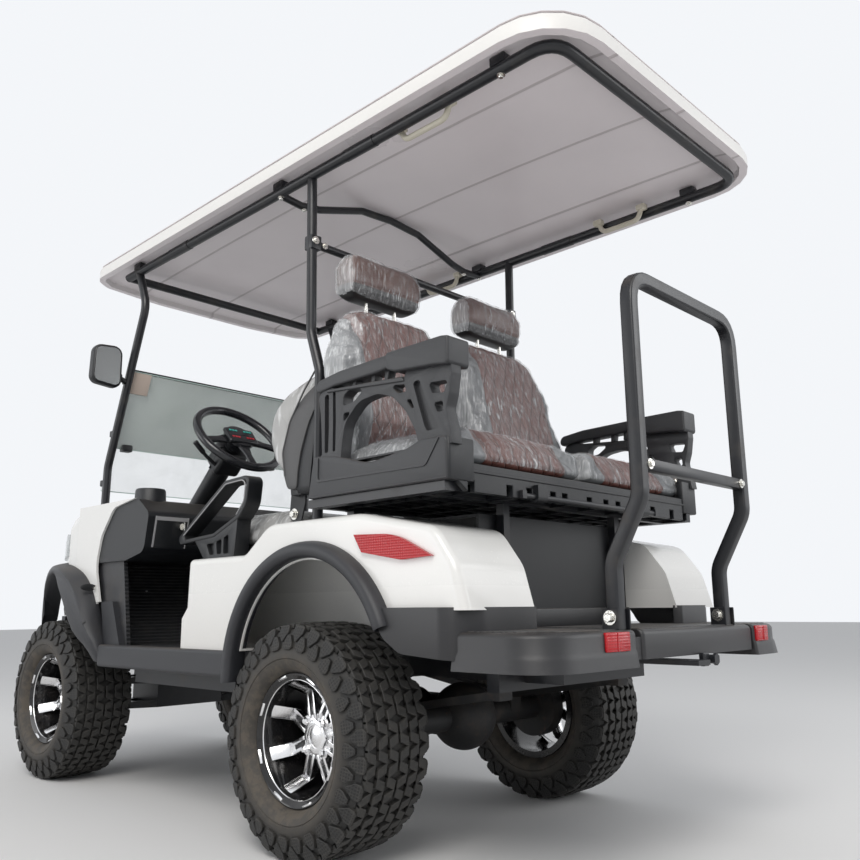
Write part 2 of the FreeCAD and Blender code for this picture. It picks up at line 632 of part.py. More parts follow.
# Steering column and wheel: the driver sits on the left
STEER_X = -262.0
STEER_Y = 800.0
STEER_Z = 1235.0
STEER_R = 162.0
STEER_GRIP = 13.0
COLUMN_TILT = 42.0
COLUMN_R = 38.0
COLUMN_L = 340.0
SHAFT_R = 11.0
tilt = math.radians(COLUMN_TILT)
along = V(0, -math.cos(tilt), math.sin(tilt))
centre = V(STEER_X, STEER_Y, STEER_Z)
column_top = centre - along * 50
column = rod(column_top - along * COLUMN_L, column_top, COLUMN_R)
column = column.fuse(rod(column_top - along * 10, centre - along * 22, SHAFT_R))
column = column.cut(dash)
save("steering_column", max(column.Solids, key=lambda s: s.Volume))
wheel = Part.makeTorus(STEER_R, STEER_GRIP, centre, along)
hub = rod(centre - along * 40, centre + along * 6, 34)
hub = hub.cut(rod(centre - along * 41, centre - along * 20, SHAFT_R + RUN_FIT))
wheel = wheel.fuse(hub)
for angle in (0, 180, 270):
    spoke = box(0, STEER_R, -14, 14, -6, 6)
    spoke.rotate(V(0, 0, 0), V(0, 0, 1), angle)
    spoke.rotate(V(0, 0, 0), V(1, 0, 0), 90 - COLUMN_TILT)
    spoke.translate(centre)
    wheel = wheel.fuse(spoke)
save("steering_wheel", wheel.removeSplitter())

# Seat box: front wall, lower deck with the hinge pin, riser, upper deck and the panel behind the well
t = DECK_T
riser_y = 215.0
seat_box = side([(front_y, FLOOR_Z), (front_y, PANEL_TOP), (riser_y, PANEL_TOP), (riser_y, FENDER_TOP),
                 (WELL_Y - t, FENDER_TOP), (WELL_Y - t, FENDER_LOW_Z), (WELL_Y, FENDER_LOW_Z),
                 (WELL_Y, FENDER_TOP - t), (riser_y - t, FENDER_TOP - t), (riser_y - t, PANEL_TOP - t),
                 (front_y - t, PANEL_TOP - t), (front_y - t, FLOOR_Z)], -FENDER_IN, FENDER_IN)
lid_z = PANEL_TOP + 12
lid_y = front_y - 14
seat_box = seat_box.fuse(rod(V(-260, lid_y, lid_z), V(260, lid_y, lid_z), LID_PIN_R))
for x in (-250, 0, 250):
    seat_box = seat_box.fuse(box(x - 10, x + 10, lid_y - 10, lid_y + 10, PANEL_TOP - 2, lid_z))
save("seat_box", seat_box.removeSplitter())

# Battery pack on the rails
battery = box(-260, 260, 225, 505, RAIL_TOP, 735)
save("battery_pack", battery)

# Rear bumper with the cross panel under the luggage well
bumper_out = BODY_HALF + 4
bumper_in = BODY_HALF - 20
rear_bumper = plan([(bumper_out, -250), (bumper_out, FENDER_REAR_Y, 60), (FENDER_IN, FENDER_REAR_Y),
                    (FENDER_IN, WELL_Y - t), (-FENDER_IN, WELL_Y - t), (-FENDER_IN, FENDER_REAR_Y),
                    (-bumper_out, FENDER_REAR_Y, 60), (-bumper_out, -250), (-bumper_in, -250),
                    (-bumper_in, FENDER_REAR_Y + 24, 40), (-FENDER_IN - 24, FENDER_REAR_Y + 24),
                    (-FENDER_IN - 24, WELL_Y + 12), (FENDER_IN + 24, WELL_Y + 12),
                    (FENDER_IN + 24, FENDER_REAR_Y + 24), (bumper_in, FENDER_REAR_Y + 24, 40), (bumper_in, -250)],
                   REAR_BUMPER_Z, FENDER_LOW_Z)
rear_bumper = rear_bumper.cut(rod(V(-bumper_out - 1, ARCH_Y, ARCH_Z), V(bumper_out + 1, ARCH_Y, ARCH_Z), ARCH_R))
save("rear_bumper", rear_bumper)

# Lamps
lens = cowl_solid.copy()
lens.translate(V(-LAMP_OUT, LAMP_OUT, 0))
lens = lens.cut(cowl_solid)
lens = lens.common(plan([(-700, COWL_TAPER_Y + 40), (-700, 2100), (-NOSE_HALF - 90, 2100), (-NOSE_HALF - 90, 1800),
                         (-COWL_HALF + 60, COWL_TAPER_Y + 40)], HEADLAMP_LOW, HEADLAMP_TOP))
lens = max(lens.Solids, key=lambda f: f.Volume)
save("headlamps", both(lens))
lamp = side([(-232, 797), (-380, 790, 200), (-500, 733), (-400, 728, 40), (-262, 752)], BODY_HALF, BODY_HALF + 10)
save("tail_lamps", both(lamp))

# Front seat: hinged cushion on its tray, backs and hard shells
fc_z = FRONT_CUSHION_Z
front_cushion = box(-FRONT_CUSHION_HALF, FRONT_CUSHION_HALF, FRONT_CUSHION_BACK, FRONT_CUSHION_Y,
                    fc_z, fc_z + FRONT_CUSHION_H)
front_cushion = rounded(front_cushion, 30, lambda e: e.CenterOfMass.z > fc_z + 1)
board = box(-FRONT_CUSHION_HALF + 10, FRONT_CUSHION_HALF - 10, FRONT_CUSHION_BACK + 10, FRONT_CUSHION_Y - 20,
            fc_z - 16, fc_z)
for s in (-1, 1):
    board = board.fuse(box(s * 200 - 20, s * 200 + 20, lid_y - 12, lid_y + 12, lid_z, fc_z - 10))
    board = board.fuse(rod(V(s * 200 - 20, lid_y, lid_z), V(s * 200 + 20, lid_y, lid_z), LID_PIN_R + 5))
board = board.cut(rod(V(-300, lid_y, lid_z), V(300, lid_y, lid_z), LID_PIN_R + RUN_FIT))
save("front_seat_cushion", front_cushion.fuse(board).removeSplitter())
fold_line = [(205, 960), (202, 1090, 300), (84, 1356)]
shell = side([(118, FENDER_TOP), (190, FENDER_TOP)] + fold_line + [(34, 1338, 8), (104, 1100, 400), (122, 960, 60)],
             SEAT_SPLIT, FRONT_BACK_HALF)
save("front_seat_shells", both(shell))
pad = side([(84, 1356), (202, 1090, 300), (205, 960), (262, 972, 25), (300, 1090, 120), (165, 1345, 50),
            (112, 1386, 16)], SEAT_SPLIT + 4, FRONT_BACK_HALF - 4)
save("front_seat_backs", both(pad))

# Side loops of the front seat
LOOP_GAP = 8.0
LOOP_W = 52.0
loop_in = FRONT_CUSHION_HALF + LOOP_GAP
loop_line = [(775, 857, 16), (503, 1022, 40), (366, 1028, 24), (379, 936, 60), (420, 895, 60), (556, 845, 60),
             (762, 832, 8)]
loop_hole = [(740, 862, 6), (498, 1008, 30), (380, 1014, 12), (391, 944, 50), (430, 905, 50), (560, 857, 50),
             (738, 847, 4)]
loop = side(loop_line, loop_in, loop_in + LOOP_W)
loop = loop.fuse(side([(440, PANEL_TOP), (430, 893), (556, 850), (665, 844), (600, PANEL_TOP)],
                      loop_in, loop_in + LOOP_W))
loop = loop.cut(side(loop_hole, loop_in - 1, loop_in + LOOP_W + 1))
loop = loop.removeSplitter()
save("front_seat_loops", both(loop))

# Rear seat: fixed frame with struts, hinged pan and cushion, backs and headrests
arm_in = FRAME_HALF - ARM_PLATE_T
frame_top = FRAME_Z + FRAME_T
strut = STRUT_W / 2
rear_frame = box(-FRAME_HALF, FRAME_HALF, STRUT_Y - strut, STRUT_Y + strut, FRAME_Z, frame_top)
rear_frame = rear_frame.fuse(box(-FRAME_HALF, FRAME_HALF, -62, -38, FRAME_Z, frame_top))
for s in (-1, 1):
    x0 = min(s * arm_in, s * FRAME_HALF)
    rear_frame = rear_frame.fuse(box(x0, x0 + ARM_PLATE_T, -530, -30, FRAME_Z, frame_top))
    rear_frame = rear_frame.fuse(box(s * STRUT_X - strut, s * STRUT_X + strut, STRUT_Y - strut,
                                     STRUT_Y + strut, STEP_TOP, frame_top))
    rear_frame = rear_frame.fuse(box(s * 320 - 8, s * 320 + 8, HINGE_Y - 10, STRUT_Y, FRAME_Z, frame_top - 2))
    post = s * BACK_POST_X
    rear_frame = rear_frame.fuse(box(post - 20, post + 20, -66, -38, FENDER_TOP, FRAME_Z))
    rear_frame = rear_frame.fuse(box(post - 20, post + 20, -55, -30, FRAME_Z, BACK_RAIL_Z))
rear_frame = rear_frame.fuse(box(-REAR_BACK_HALF, REAR_BACK_HALF, -55, -5, BACK_RAIL_Z - 25, BACK_RAIL_Z))
rear_frame = rear_frame.fuse(rod(V(-325, HINGE_Y, HINGE_Z), V(325, HINGE_Y, HINGE_Z), HINGE_R))
save("rear_seat_frame", rear_frame.removeSplitter())
pan = box(-PAN_HALF, PAN_HALF, PAN_REAR_Y, PAN_FRONT_Y, PAN_Z, PAN_Z + PAN_T)
for s in (-1, 1):
    lug = box(s * 250 - 20, s * 250 + 20, HINGE_Y - 14, HINGE_Y + 22, HINGE_Z, PAN_Z + 10)
    lug = lug.fuse(rod(V(s * 250 - 20, HINGE_Y, HINGE_Z), V(s * 250 + 20, HINGE_Y, HINGE_Z), HINGE_R + 6))
    pan = pan.fuse(lug)
pan = pan.cut(rod(V(-300, HINGE_Y, HINGE_Z), V(300, HINGE_Y, HINGE_Z), HINGE_R + RUN_FIT))
save("rear_seat_pan", pan.removeSplitter())
cushion = box(-CUSHION_HALF, CUSHION_HALF, PAN_REAR_Y + 5, PAN_FRONT_Y - 35, PAN_Z + PAN_T,
              PAN_Z + PAN_T + CUSHION_H)
cushion = rounded(cushion, 26, lambda e: e.CenterOfMass.z > PAN_Z + PAN_T + 1)
save("rear_seat_cushion", cushion)
BACK_TOP = 1505.0
back = side([(-72, 1034, 14), (-104, 1130, 60), (-58, 1330, 400), (-10, BACK_TOP, 20), (42, BACK_TOP, 8),
             (22, 1300, 400), (-22, 1100, 300), (-30, BACK_RAIL_Z), (-54, BACK_RAIL_Z)], SEAT_SPLIT - 10, REAR_BACK_HALF)
save("rear_seat_backs", both(back))
head = box(HEADREST_X - HEADREST_W / 2, HEADREST_X + HEADREST_W / 2, 2, 90, HEADREST_LOW, HEADREST_TOP)
head = rounded(head, 34, lambda e: True)
for x in (HEADREST_X - 60, HEADREST_X + 60):
    head = head.fuse(rod(V(x, 34, BACK_TOP), V(x, 34, HEADREST_LOW + 45), 7))
save("rear_headrests", both(head))

# Rear armrests: base, arched side frame and top rail with its cup pod
armrest = side([(-549, frame_top), (-36, frame_top), (-54, ARM_BASE_TOP - 5), (-76, ARM_BASE_TOP - 2), (-94, 1096, 60),
                (-72, ARM_TOP - 65), (-62, ARM_TOP - 28, 14), (-90, ARM_TOP - 8, 30), (-350, ARM_TOP, 400),
                (-607, ARM_TOP - 5, 14), (-604, ARM_TOP - 91, 14), (-588, ARM_TOP - 93), (-556, 1118, 60),
                (-537, 1080, 40), (-558, ARM_BASE_TOP - 9)], arm_in, FRAME_HALF)
# holes through the armrest: the big arch, the slot under the rail, and the gap behind the strut
windows = [
    [(-140, 1008), (-176, 1050, 60), (-200, 1135, 70), (-310, 1158, 70), (-395, 1110, 80), (-452, 1010, 4),
     (-406, 994, 60), (-336, 980, 60), (-237, 980, 80)],
    [(-150, ARM_TOP - 44), (-392, ARM_TOP - 66), (-388, ARM_TOP - 30), (-350, ARM_TOP - 18), (-140, ARM_TOP - 24)],
    [(-484, ARM_TOP - 92), (-498, 1092), (-530, 1022), (-532, 1050, 10), (-520, 1084, 30), (-545, 1124, 40),
     (-562, ARM_TOP - 92)],
]
for corners in windows:
    armrest = armrest.cut(side(corners, arm_in - 1, FRAME_HALF + 1))
pod = side([(-380, ARM_TOP - 60), (-380, ARM_TOP - 2), (-600, ARM_TOP - 6, 12), (-600, ARM_TOP - 88, 12)],
           FRAME_HALF - 5, FRAME_HALF + 5)
armrest = armrest.fuse(pod)
save("rear_armrests", both(armrest.removeSplitter()))

# Footplate: a hollow tray, open underneath, on a frame from the chassis
c = STEP_CORNER
tread = plan([(-STEP_HALF, FENDER_REAR_Y), (-STEP_HALF, STEP_REAR_Y, c), (STEP_HALF, STEP_REAR_Y, c),
              (STEP_HALF, FENDER_REAR_Y), (FENDER_IN - 5, FENDER_REAR_Y), (FENDER_IN - 5, step_front),
              (-FENDER_IN + 5, step_front), (-FENDER_IN + 5, FENDER_REAR_Y)], STEP_TOP - STEP_H, STEP_TOP)
w = STEP_WALL
cavity = plan([(-STEP_HALF + w, FENDER_REAR_Y - w), (-STEP_HALF + w, STEP_REAR_Y + w, c - w),
               (STEP_HALF - w, STEP_REAR_Y + w, c - w), (STEP_HALF - w, FENDER_REAR_Y - w),
               (FENDER_IN - 5 - w, FENDER_REAR_Y - w), (FENDER_IN - 5 - w, step_front - w),
               (-FENDER_IN + 5 + w, step_front - w), (-FENDER_IN + 5 + w, FENDER_REAR_Y - w)],
              STEP_TOP - STEP_H - 1, STEP_TOP - w)
tread = tread.cut(cavity)
for x, half in ((-RAIL_X, RAIL_W / 2), (0, HITCH_W / 2), (RAIL_X, RAIL_W / 2)):
    tread = tread.cut(box(x - half - NOTCH_GAP, x + half + NOTCH_GAP, STEP_REAR_Y - 1, step_front + 1,
                          STEP_TOP - STEP_H - 1, RAIL_TOP + NOTCH_GAP))
save("footplate", tread.removeSplitter())

# Grab bar
g = GRAB_W / 2
post = side([(GRAB_FOOT_Y - g, STEP_TOP), (GRAB_FOOT_Y - g, 712, 50), (GRAB_POST_Y - g, 850, 50),
             (GRAB_POST_Y - g, GRAB_TOP - 60), (GRAB_POST_Y + g, GRAB_TOP - 60), (GRAB_POST_Y + g, 858, 80),
             (GRAB_FOOT_Y + g, 720, 80), (GRAB_FOOT_Y + g, STEP_TOP)], -GRAB_X - g, -GRAB_X + g)
arch_line = [(-GRAB_X - g, GRAB_TOP - 100), (-GRAB_X - g, GRAB_TOP + g, 80), (GRAB_X + g, GRAB_TOP + g, 80),
             (GRAB_X + g, GRAB_TOP - 100), (GRAB_X - g, GRAB_TOP - 100), (GRAB_X - g, GRAB_TOP - g, 48),
             (-GRAB_X + g, GRAB_TOP - g, 48), (-GRAB_X + g, GRAB_TOP - 100)]
hoop = Part.Face(wire(lambda a, b: V(a, 0, b), arch_line))
hoop.translate(V(0, GRAB_POST_Y - g, 0))
hoop = hoop.extrude(V(0, GRAB_W, 0)).fuse(post).fuse(mirrored(post)).removeSplitter()
hoop = hoop.fuse(box(-GRAB_X, GRAB_X, GRAB_POST_Y - g + 1, GRAB_POST_Y + g - 1, GRAB_BAR_Z - g, GRAB_BAR_Z + g))
save("grab_bar", hoop.removeSplitter())


# Roof panel: fascia with a crowned top and a shallow pocket underneath
def roof_outline(inset, z):
    x = ROOF_HALF - inset
    rear = ROOF_REAR_Y + inset
    front = ROOF_FRONT_Y - inset
    ring = wire(xy, [(x, rear, ROOF_CORNER), (x, front - 45, 110), (250, front, 400), (-250, front, 400),
                     (-x, front - 45, 110), (-x, rear, ROOF_CORNER)])
    ring.translate(V(0, 0, z))
    return ring


fascia_top = ROOF_EDGE_Z + ROOF_FASCIA
roof = Part.Face(roof_outline(0, ROOF_EDGE_Z)).extrude(V(0, 0, ROOF_FASCIA))
crown = Part.makeLoft([roof_outline(0, fascia_top), roof_outline(ROOF_CROWN_IN, fascia_top + ROOF_CROWN)],
                      True, True)
roof = roof.fuse(crown)
pocket_top = ROOF_EDGE_Z + ROOF_POCKET
pocket = Part.Face(roof_outline(ROOF_LIP, ROOF_EDGE_Z - 1)).extrude(V(0, 0, ROOF_POCKET + 1))
roof = roof.cut(pocket)
save("roof_panel", roof.removeSplitter())

# Roof frame: side rails and rear bend in one tube, front tube, bow and bar between the rear pillars
roof_frame = pipe([(-TUBE_HALF, TUBE_FRONT_Y, TUBE_Z), (-TUBE_HALF, TUBE_REAR_Y, TUBE_Z), (TUBE_HALF, TUBE_REAR_Y, TUBE_Z),
             (TUBE_HALF, TUBE_FRONT_Y, TUBE_Z)], TUBE_BEND, TUBE_R)
roof_frame = roof_frame.fuse(rod(V(-TUBE_HALF, TUBE_FRONT_Y, TUBE_Z), V(TUBE_HALF, TUBE_FRONT_Y, TUBE_Z), TUBE_R - 1))
bow_z = TUBE_Z - 8
bow_out = TUBE_HALF * 0.72
bow_in = TUBE_HALF * 0.48
bow = pipe([(-TUBE_HALF, BOW_END_Y, bow_z), (-bow_out, BOW_END_Y + 12, bow_z), (-bow_in, BOW_MID_Y, bow_z),
            (bow_in, BOW_MID_Y, bow_z), (bow_out, BOW_END_Y + 12, bow_z), (TUBE_HALF, BOW_END_Y, bow_z)], 50, BOW_R)
roof_frame = roof_frame.fuse(bow)
for s in (-1, 1):
    for y in (TUBE_FRONT_Y - 90, 262, -645):
        roof_frame = roof_frame.fuse(box(s * TUBE_HALF - 16, s * TUBE_HALF + 16, y - 22, y + 22, TUBE_Z - 4, pocket_top))
save("roof_frame", roof_frame.removeSplitter())

# Pillars: their ends seat against the roof tube, the seat box's fenders and the cowl
b_top_x = TUBE_HALF - 2
b_pillar = pipe([(-b_top_x, B_PILLAR_Y, TUBE_Z), (-B_PILLAR_X, B_PILLAR_Y, 1415), (-B_PILLAR_X, B_FOOT_Y, 1310),
                 (-B_PILLAR_X, B_FOOT_Y, FENDER_TOP)], 50, PILLAR_R)
b_bar = rod(V(-B_PILLAR_X - 5, B_PILLAR_Y, B_BAR_Z), V(B_PILLAR_X + 5, B_PILLAR_Y, B_BAR_Z), B_BAR_R)
b_frame = b_pillar.fuse(mirrored(b_pillar)).fuse(b_bar).cut(roof_frame)
a_pillar = pipe([(-TUBE_HALF, A_TOP_Y, TUBE_Z), (-TUBE_HALF, A_BEND_Y, A_BEND_Z), (-TUBE_HALF, A_KNEE_Y, A_KNEE_Z),
                 (-TUBE_HALF, A_FOOT_Y, DASH_TOP - 8)], 60, PILLAR_R).cut(roof_frame).cut(dash)

# Windshield: lower pane between the pillars, upper pane folded down in front of it
lean = (A_BEND_Y - A_KNEE_Y) / (A_BEND_Z - A_KNEE_Z)


pane_ahead = PILLAR_R * math.sqrt(1 + lean ** 2)
fold_ahead = pane_ahead + GLASS_T + FOLD_GAP


def pane(z0, z1, ahead, half, thick):
    y0 = A_KNEE_Y + lean * (z0 - A_KNEE_Z) + ahead
    y1 = A_KNEE_Y + lean * (z1 - A_KNEE_Z) + ahead
    return side([(y0, z0), (y0 + thick, z0), (y1 + thick, z1), (y1, z1)], -half, half)


lower_pane = pane(GLASS_LOW_Z, GLASS_HINGE_Z, pane_ahead, GLASS_HALF, GLASS_T)
upper_pane = pane(GLASS_FOLD_Z, GLASS_HINGE_Z, fold_ahead, GLASS_HALF, GLASS_T)
save("windshield", Part.makeCompound([lower_pane, upper_pane]))
strip = pane(GLASS_HINGE_Z, GLASS_HINGE_Z + 10, pane_ahead - STRIP_BACK, GLASS_HALF,
             2 * GLASS_T + FOLD_GAP + STRIP_BACK)
front_pillars = a_pillar.fuse(mirrored(a_pillar)).fuse(strip).removeSplitter()
save("roof_pillars", Part.makeCompound([b_frame.removeSplitter(), front_pillars]))

# Mirrors on brackets from the front pillars
mirror_y = A_KNEE_Y + lean * (MIRROR_Z - A_KNEE_Z)
mirror = box(-MIRROR_OUT, -MIRROR_OUT + MIRROR_W, mirror_y - MIRROR_D / 2, mirror_y + MIRROR_D / 2,
             MIRROR_Z - MIRROR_H / 2, MIRROR_Z + MIRROR_H / 2)
mirror = rounded(mirror, 12, lambda e: e.BoundBox.YLength > 20)
bracket = box(-MIRROR_OUT + MIRROR_W - 5, -TUBE_HALF, mirror_y - 8, mirror_y + 8, MIRROR_Z - 50, MIRROR_Z - 30)
bracket = bracket.cut(a_pillar)
bracket = min(bracket.Solids, key=lambda s: s.CenterOfMass.x)
save("mirrors", both(mirror.fuse(bracket)))
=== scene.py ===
"""Looks of a lifted four-seat golf cart: metres, +Z up, +Y forward, +X to the cart's right."""
import json
import math

import bpy
from mathutils import Matrix, Vector, noise

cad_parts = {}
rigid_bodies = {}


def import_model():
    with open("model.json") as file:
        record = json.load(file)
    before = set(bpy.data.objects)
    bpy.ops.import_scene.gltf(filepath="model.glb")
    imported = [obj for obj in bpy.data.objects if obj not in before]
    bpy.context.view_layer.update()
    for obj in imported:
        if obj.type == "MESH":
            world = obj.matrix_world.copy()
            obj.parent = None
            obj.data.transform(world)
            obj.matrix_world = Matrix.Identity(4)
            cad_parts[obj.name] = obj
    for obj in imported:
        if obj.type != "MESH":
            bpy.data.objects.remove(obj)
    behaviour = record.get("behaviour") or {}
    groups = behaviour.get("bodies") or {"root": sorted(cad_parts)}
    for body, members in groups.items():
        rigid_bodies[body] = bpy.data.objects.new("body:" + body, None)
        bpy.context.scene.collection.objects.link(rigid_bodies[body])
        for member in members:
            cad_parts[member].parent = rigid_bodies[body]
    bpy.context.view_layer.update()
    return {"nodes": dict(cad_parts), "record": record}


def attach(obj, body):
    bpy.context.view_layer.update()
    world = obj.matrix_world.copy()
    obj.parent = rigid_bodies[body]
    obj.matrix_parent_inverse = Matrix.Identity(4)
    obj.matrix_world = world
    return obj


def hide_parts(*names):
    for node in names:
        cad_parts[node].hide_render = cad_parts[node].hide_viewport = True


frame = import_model()

# Places shared with the solids. Outlines are written in millimetres, with Y counted from the rear axle.
SHIFT = -0.5665
AXLE_Z = 0.292
WHEELS = (
    # name, x of the tyre's middle, y
    ("front_left", -0.463, 1.6),
    ("front_right", 0.463, 1.6),
    ("rear_left", -0.493, 0.0),
    ("rear_right", 0.493, 0.0),
)


def at(x, y, z):
    """A point given in millimetres from the rear axle, in the frame's metres."""
    return Vector((x / 1000, y / 1000 + SHIFT, z / 1000))


# Shaping by hand
def alone(piece):
    bpy.ops.object.select_all(action="DESELECT")
    piece.select_set(True)
    bpy.context.view_layer.objects.active = piece


def start(kind, name, **where):
    """A new primitive, alone in the selection."""
    bpy.ops.object.select_all(action="DESELECT")
    getattr(bpy.ops.mesh, "primitive_" + kind + "_add")(**where)
    bpy.context.object.name = name
    return bpy.context.object


def settle(piece):
    """Put the object's place, turn and size into its mesh."""
    alone(piece)
    bpy.ops.object.transform_apply(location=True, rotation=True, scale=True)
    return piece


def edit(piece, *steps, faces=None):
    """Edit-mode operators, each with its settings, on the faces that pass the test."""
    alone(piece)
    bpy.context.tool_settings.mesh_select_mode = (False, False, True)
    for part in (*piece.data.vertices, *piece.data.edges):
        part.select = faces is None
    for face in piece.data.polygons:
        face.select = faces is None or faces(face)
    if faces is None:
        bpy.context.tool_settings.mesh_select_mode = (True, False, False)
    bpy.ops.object.mode_set(mode="EDIT")
    if faces is None:
        bpy.ops.mesh.select_all(action="SELECT")
    for step, settings in steps:
        getattr(bpy.ops.transform if step in ("resize", "translate") else bpy.ops.mesh, step)(**settings)
    bpy.ops.object.mode_set(mode="OBJECT")
    return piece


def outward(piece):
    return edit(piece, ("remove_doubles", {"threshold": 0.00002}), ("normals_make_consistent", {"inside": False}))


def pull(piece, move, faces=None):
    edit(piece, ("extrude_region_move", {"TRANSFORM_OT_translate": {"value": tuple(move)}}), faces=faces)
    return outward(piece)


def modify(piece, kind, **settings):
    alone(piece)
    bpy.ops.object.modifier_add(type=kind)
    tool = piece.modifiers[-1]
    for name, value in settings.items():
        setattr(tool, name, value)
    bpy.ops.object.modifier_apply(modifier=tool.name)
    return piece


def bevelled(piece, width=0.003, segments=2, angle=35):
    return modify(piece, "BEVEL", width=width, segments=segments, angle_limit=math.radians(angle),
                  limit_method="ANGLE")


def join(first, *others):
    bpy.ops.object.select_all(action="DESELECT")
    for piece in (first, *others):
        piece.select_set(True)
    bpy.context.view_layer.objects.active = first
    bpy.ops.object.join()
    return first


def again(piece, name, move=(0, 0, 0), turn=None):
    """A copy with its own mesh, moved or turned."""
    alone(piece)
    bpy.ops.object.duplicate(linked=False)
    copy = bpy.context.object
    copy.name = name
    copy.matrix_world = Matrix.Translation(move) @ (turn or Matrix())
    return settle(copy)


def mirrored(piece, name):
    return outward(again(piece, name, turn=Matrix.Scale(-1, 4, (1, 0, 0))))


def cut(piece, tool, operation="DIFFERENCE"):
    modify(piece, "BOOLEAN", object=tool, operation=operation, solver="EXACT")
    bpy.data.objects.remove(tool)
    return piece


def block(name, low, high):
    piece = start("cube", name, size=1.0, location=[(a + b) / 2 for a, b in zip(low, high)])
    piece.scale = [b - a for a, b in zip(low, high)]
    return settle(piece)


def displaced(piece, travel):
    """Move every point by travel(point, normal)."""
    normals = [vertex.normal.copy() for vertex in piece.data.vertices]
    for vertex, normal in zip(piece.data.vertices, normals):
        vertex.co += travel(vertex.co, normal)
    return piece


def rod(name, a, b, radius, sides=20):
    a, b = Vector(a), Vector(b)
    turn = (b - a).to_track_quat("Z", "Y").to_euler()
    return settle(start("cylinder", name, vertices=sides, radius=radius, depth=(b - a).length,
                        location=(a + b) / 2, rotation=turn))


def softened(corners, steps=5):
    """Corners (a, b), or (a, b, radius) where the corner is turned in short steps."""
    points = []
    for i, corner in enumerate(corners):
        here = Vector(corner[:2])
        if len(corner) == 2:
            points.append(here)
            continue
        back = Vector(corners[i - 1][:2]) - here
        ahead = Vector(corners[(i + 1) % len(corners)][:2]) - here
        half = back.angle(ahead) / 2
        reach = min(corner[2] / math.tan(half), 0.49 * back.length, 0.49 * ahead.length)
        middle = here + (back.normalized() + ahead.normalized()).normalized() * (reach / math.cos(half))
        first = here + back.normalized() * reach - middle
        last = here + ahead.normalized() * reach - middle
        angle = math.atan2(first.y, first.x)
        sweep = (math.atan2(last.y, last.x) - angle + math.pi) % (2 * math.pi) - math.pi
        for k in range(steps + 1):
            a = angle + sweep * k / steps
            points.append(middle + first.length * Vector((math.cos(a), math.sin(a))))
    return points


def flat(name, corners, place):
    """A face whose corners are a circle primitive's points, each moved to its place."""
    points = softened(corners)
    piece = start("circle", name, vertices=len(points), fill_type="NGON")
    for vertex, point in zip(piece.data.vertices, points):
        vertex.co = place(point[0], point[1])
    return piece


def side(name, corners, x0, x1):
    """An outline of (y, z) corners pulled from x0 to x1, in millimetres."""
    return pull(flat(name, corners, lambda y, z: at(x0, y, z)), ((x1 - x0) / 1000, 0, 0))


def plan(name, corners, z0, z1):
    return pull(flat(name, corners, lambda x, y: at(x, y, z0)), (0, 0, (z1 - z0) / 1000))


def across(name, corners, y0, y1):
    return pull(flat(name, corners, lambda x, z: at(x, y0, z)), (0, (y1 - y0) / 1000, 0))


def spun(name, section, steps):
    """A closed (x, radius) section in metres, spun about the X axis."""
    piece = start("circle", name, vertices=len(section), fill_type="NOTHING")
    for vertex, (x, r) in zip(piece.data.vertices, section):
        vertex.co = (x, r, 0)
    edit(piece, ("spin", {"steps": steps, "angle": 2 * math.pi, "center": (0, 0, 0), "axis": (1, 0, 0)}))
    return outward(piece)


def tube(name, points, radius, bend=0.0, resolution=5, section=None):
    """A tube through points in metres, its corners turned at the bend radius; section gives it another outline."""
    line = [Vector(points[0])]
    for a, b, c in zip(points, points[1:], points[2:]):
        a, b, c = Vector(a), Vector(b), Vector(c)
        half = (a - b).angle(c - b) / 2
        reach = min(bend / math.tan(half), 0.48 * (a - b).length, 0.48 * (c - b).length)
        first = b + (a - b).normalized() * reach
        last = b + (c - b).normalized() * reach
        for k in range(7):
            t = k / 6
            line.append(first * (1 - t) ** 2 + b * 2 * t * (1 - t) + last * t ** 2)
    line.append(Vector(points[-1]))
    if len(line) == 2:
        line.insert(1, (line[0] + line[1]) / 2)
    piece = start("circle", name, vertices=len(line), fill_type="NOTHING")
    for vertex, point in zip(piece.data.vertices, line):
        vertex.co = point
    closing = {len(line) - 1, 0}
    bpy.context.tool_settings.mesh_select_mode = (False, True, False)
    for part in (*piece.data.vertices, *piece.data.edges):
        part.select = False
    for edge in piece.data.edges:
        edge.select = set(edge.vertices) == closing
    bpy.ops.object.mode_set(mode="EDIT")
    bpy.ops.mesh.delete(type="EDGE")
    bpy.ops.object.mode_set(mode="OBJECT")
    bpy.ops.object.convert(target="CURVE")
    wire = bpy.context.object
    wire.data.bevel_depth = radius
    wire.data.bevel_resolution = resolution
    wire.data.use_fill_caps = True
    if section:
        ring = softened(section, 3)
        outline = start("circle", "outline", vertices=len(ring), fill_type="NOTHING")
        for vertex, point in zip(outline.data.vertices, ring):
            vertex.co = (point[0], point[1], 0)
        bpy.ops.object.convert(target="CURVE")
        outline = bpy.context.object
        wire.data.bevel_mode = "OBJECT"
        wire.data.bevel_object = outline
        alone(wire)
        bpy.ops.object.convert(target="MESH")
        bpy.data.objects.remove(outline)
    else:
        bpy.ops.object.convert(target="MESH")
    return outward(bpy.context.object)


def finish(piece, body, slot, material=None, replaces=(), smooth=34):
    alone(piece)
    bpy.ops.object.shade_smooth_by_angle(angle=math.radians(smooth))
    piece.data.materials.clear()
    piece.data.materials.append(material or MATERIALS[slot])
    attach(piece, body)
    if replaces:
        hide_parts(*replaces)
    return piece


def bolt(name, place, way, radius=0.009, length=0.010):
    """A hexagon head on a washer, looking along way."""
    place, way = Vector(place), Vector(way).normalized()
    washer = rod("washer", place - way * 0.001, place + way * 0.0018, radius * 1.55, 24)
    head = rod(name, place, place + way * length, radius, 6)
    return join(bevelled(head, 0.001, 1), washer)


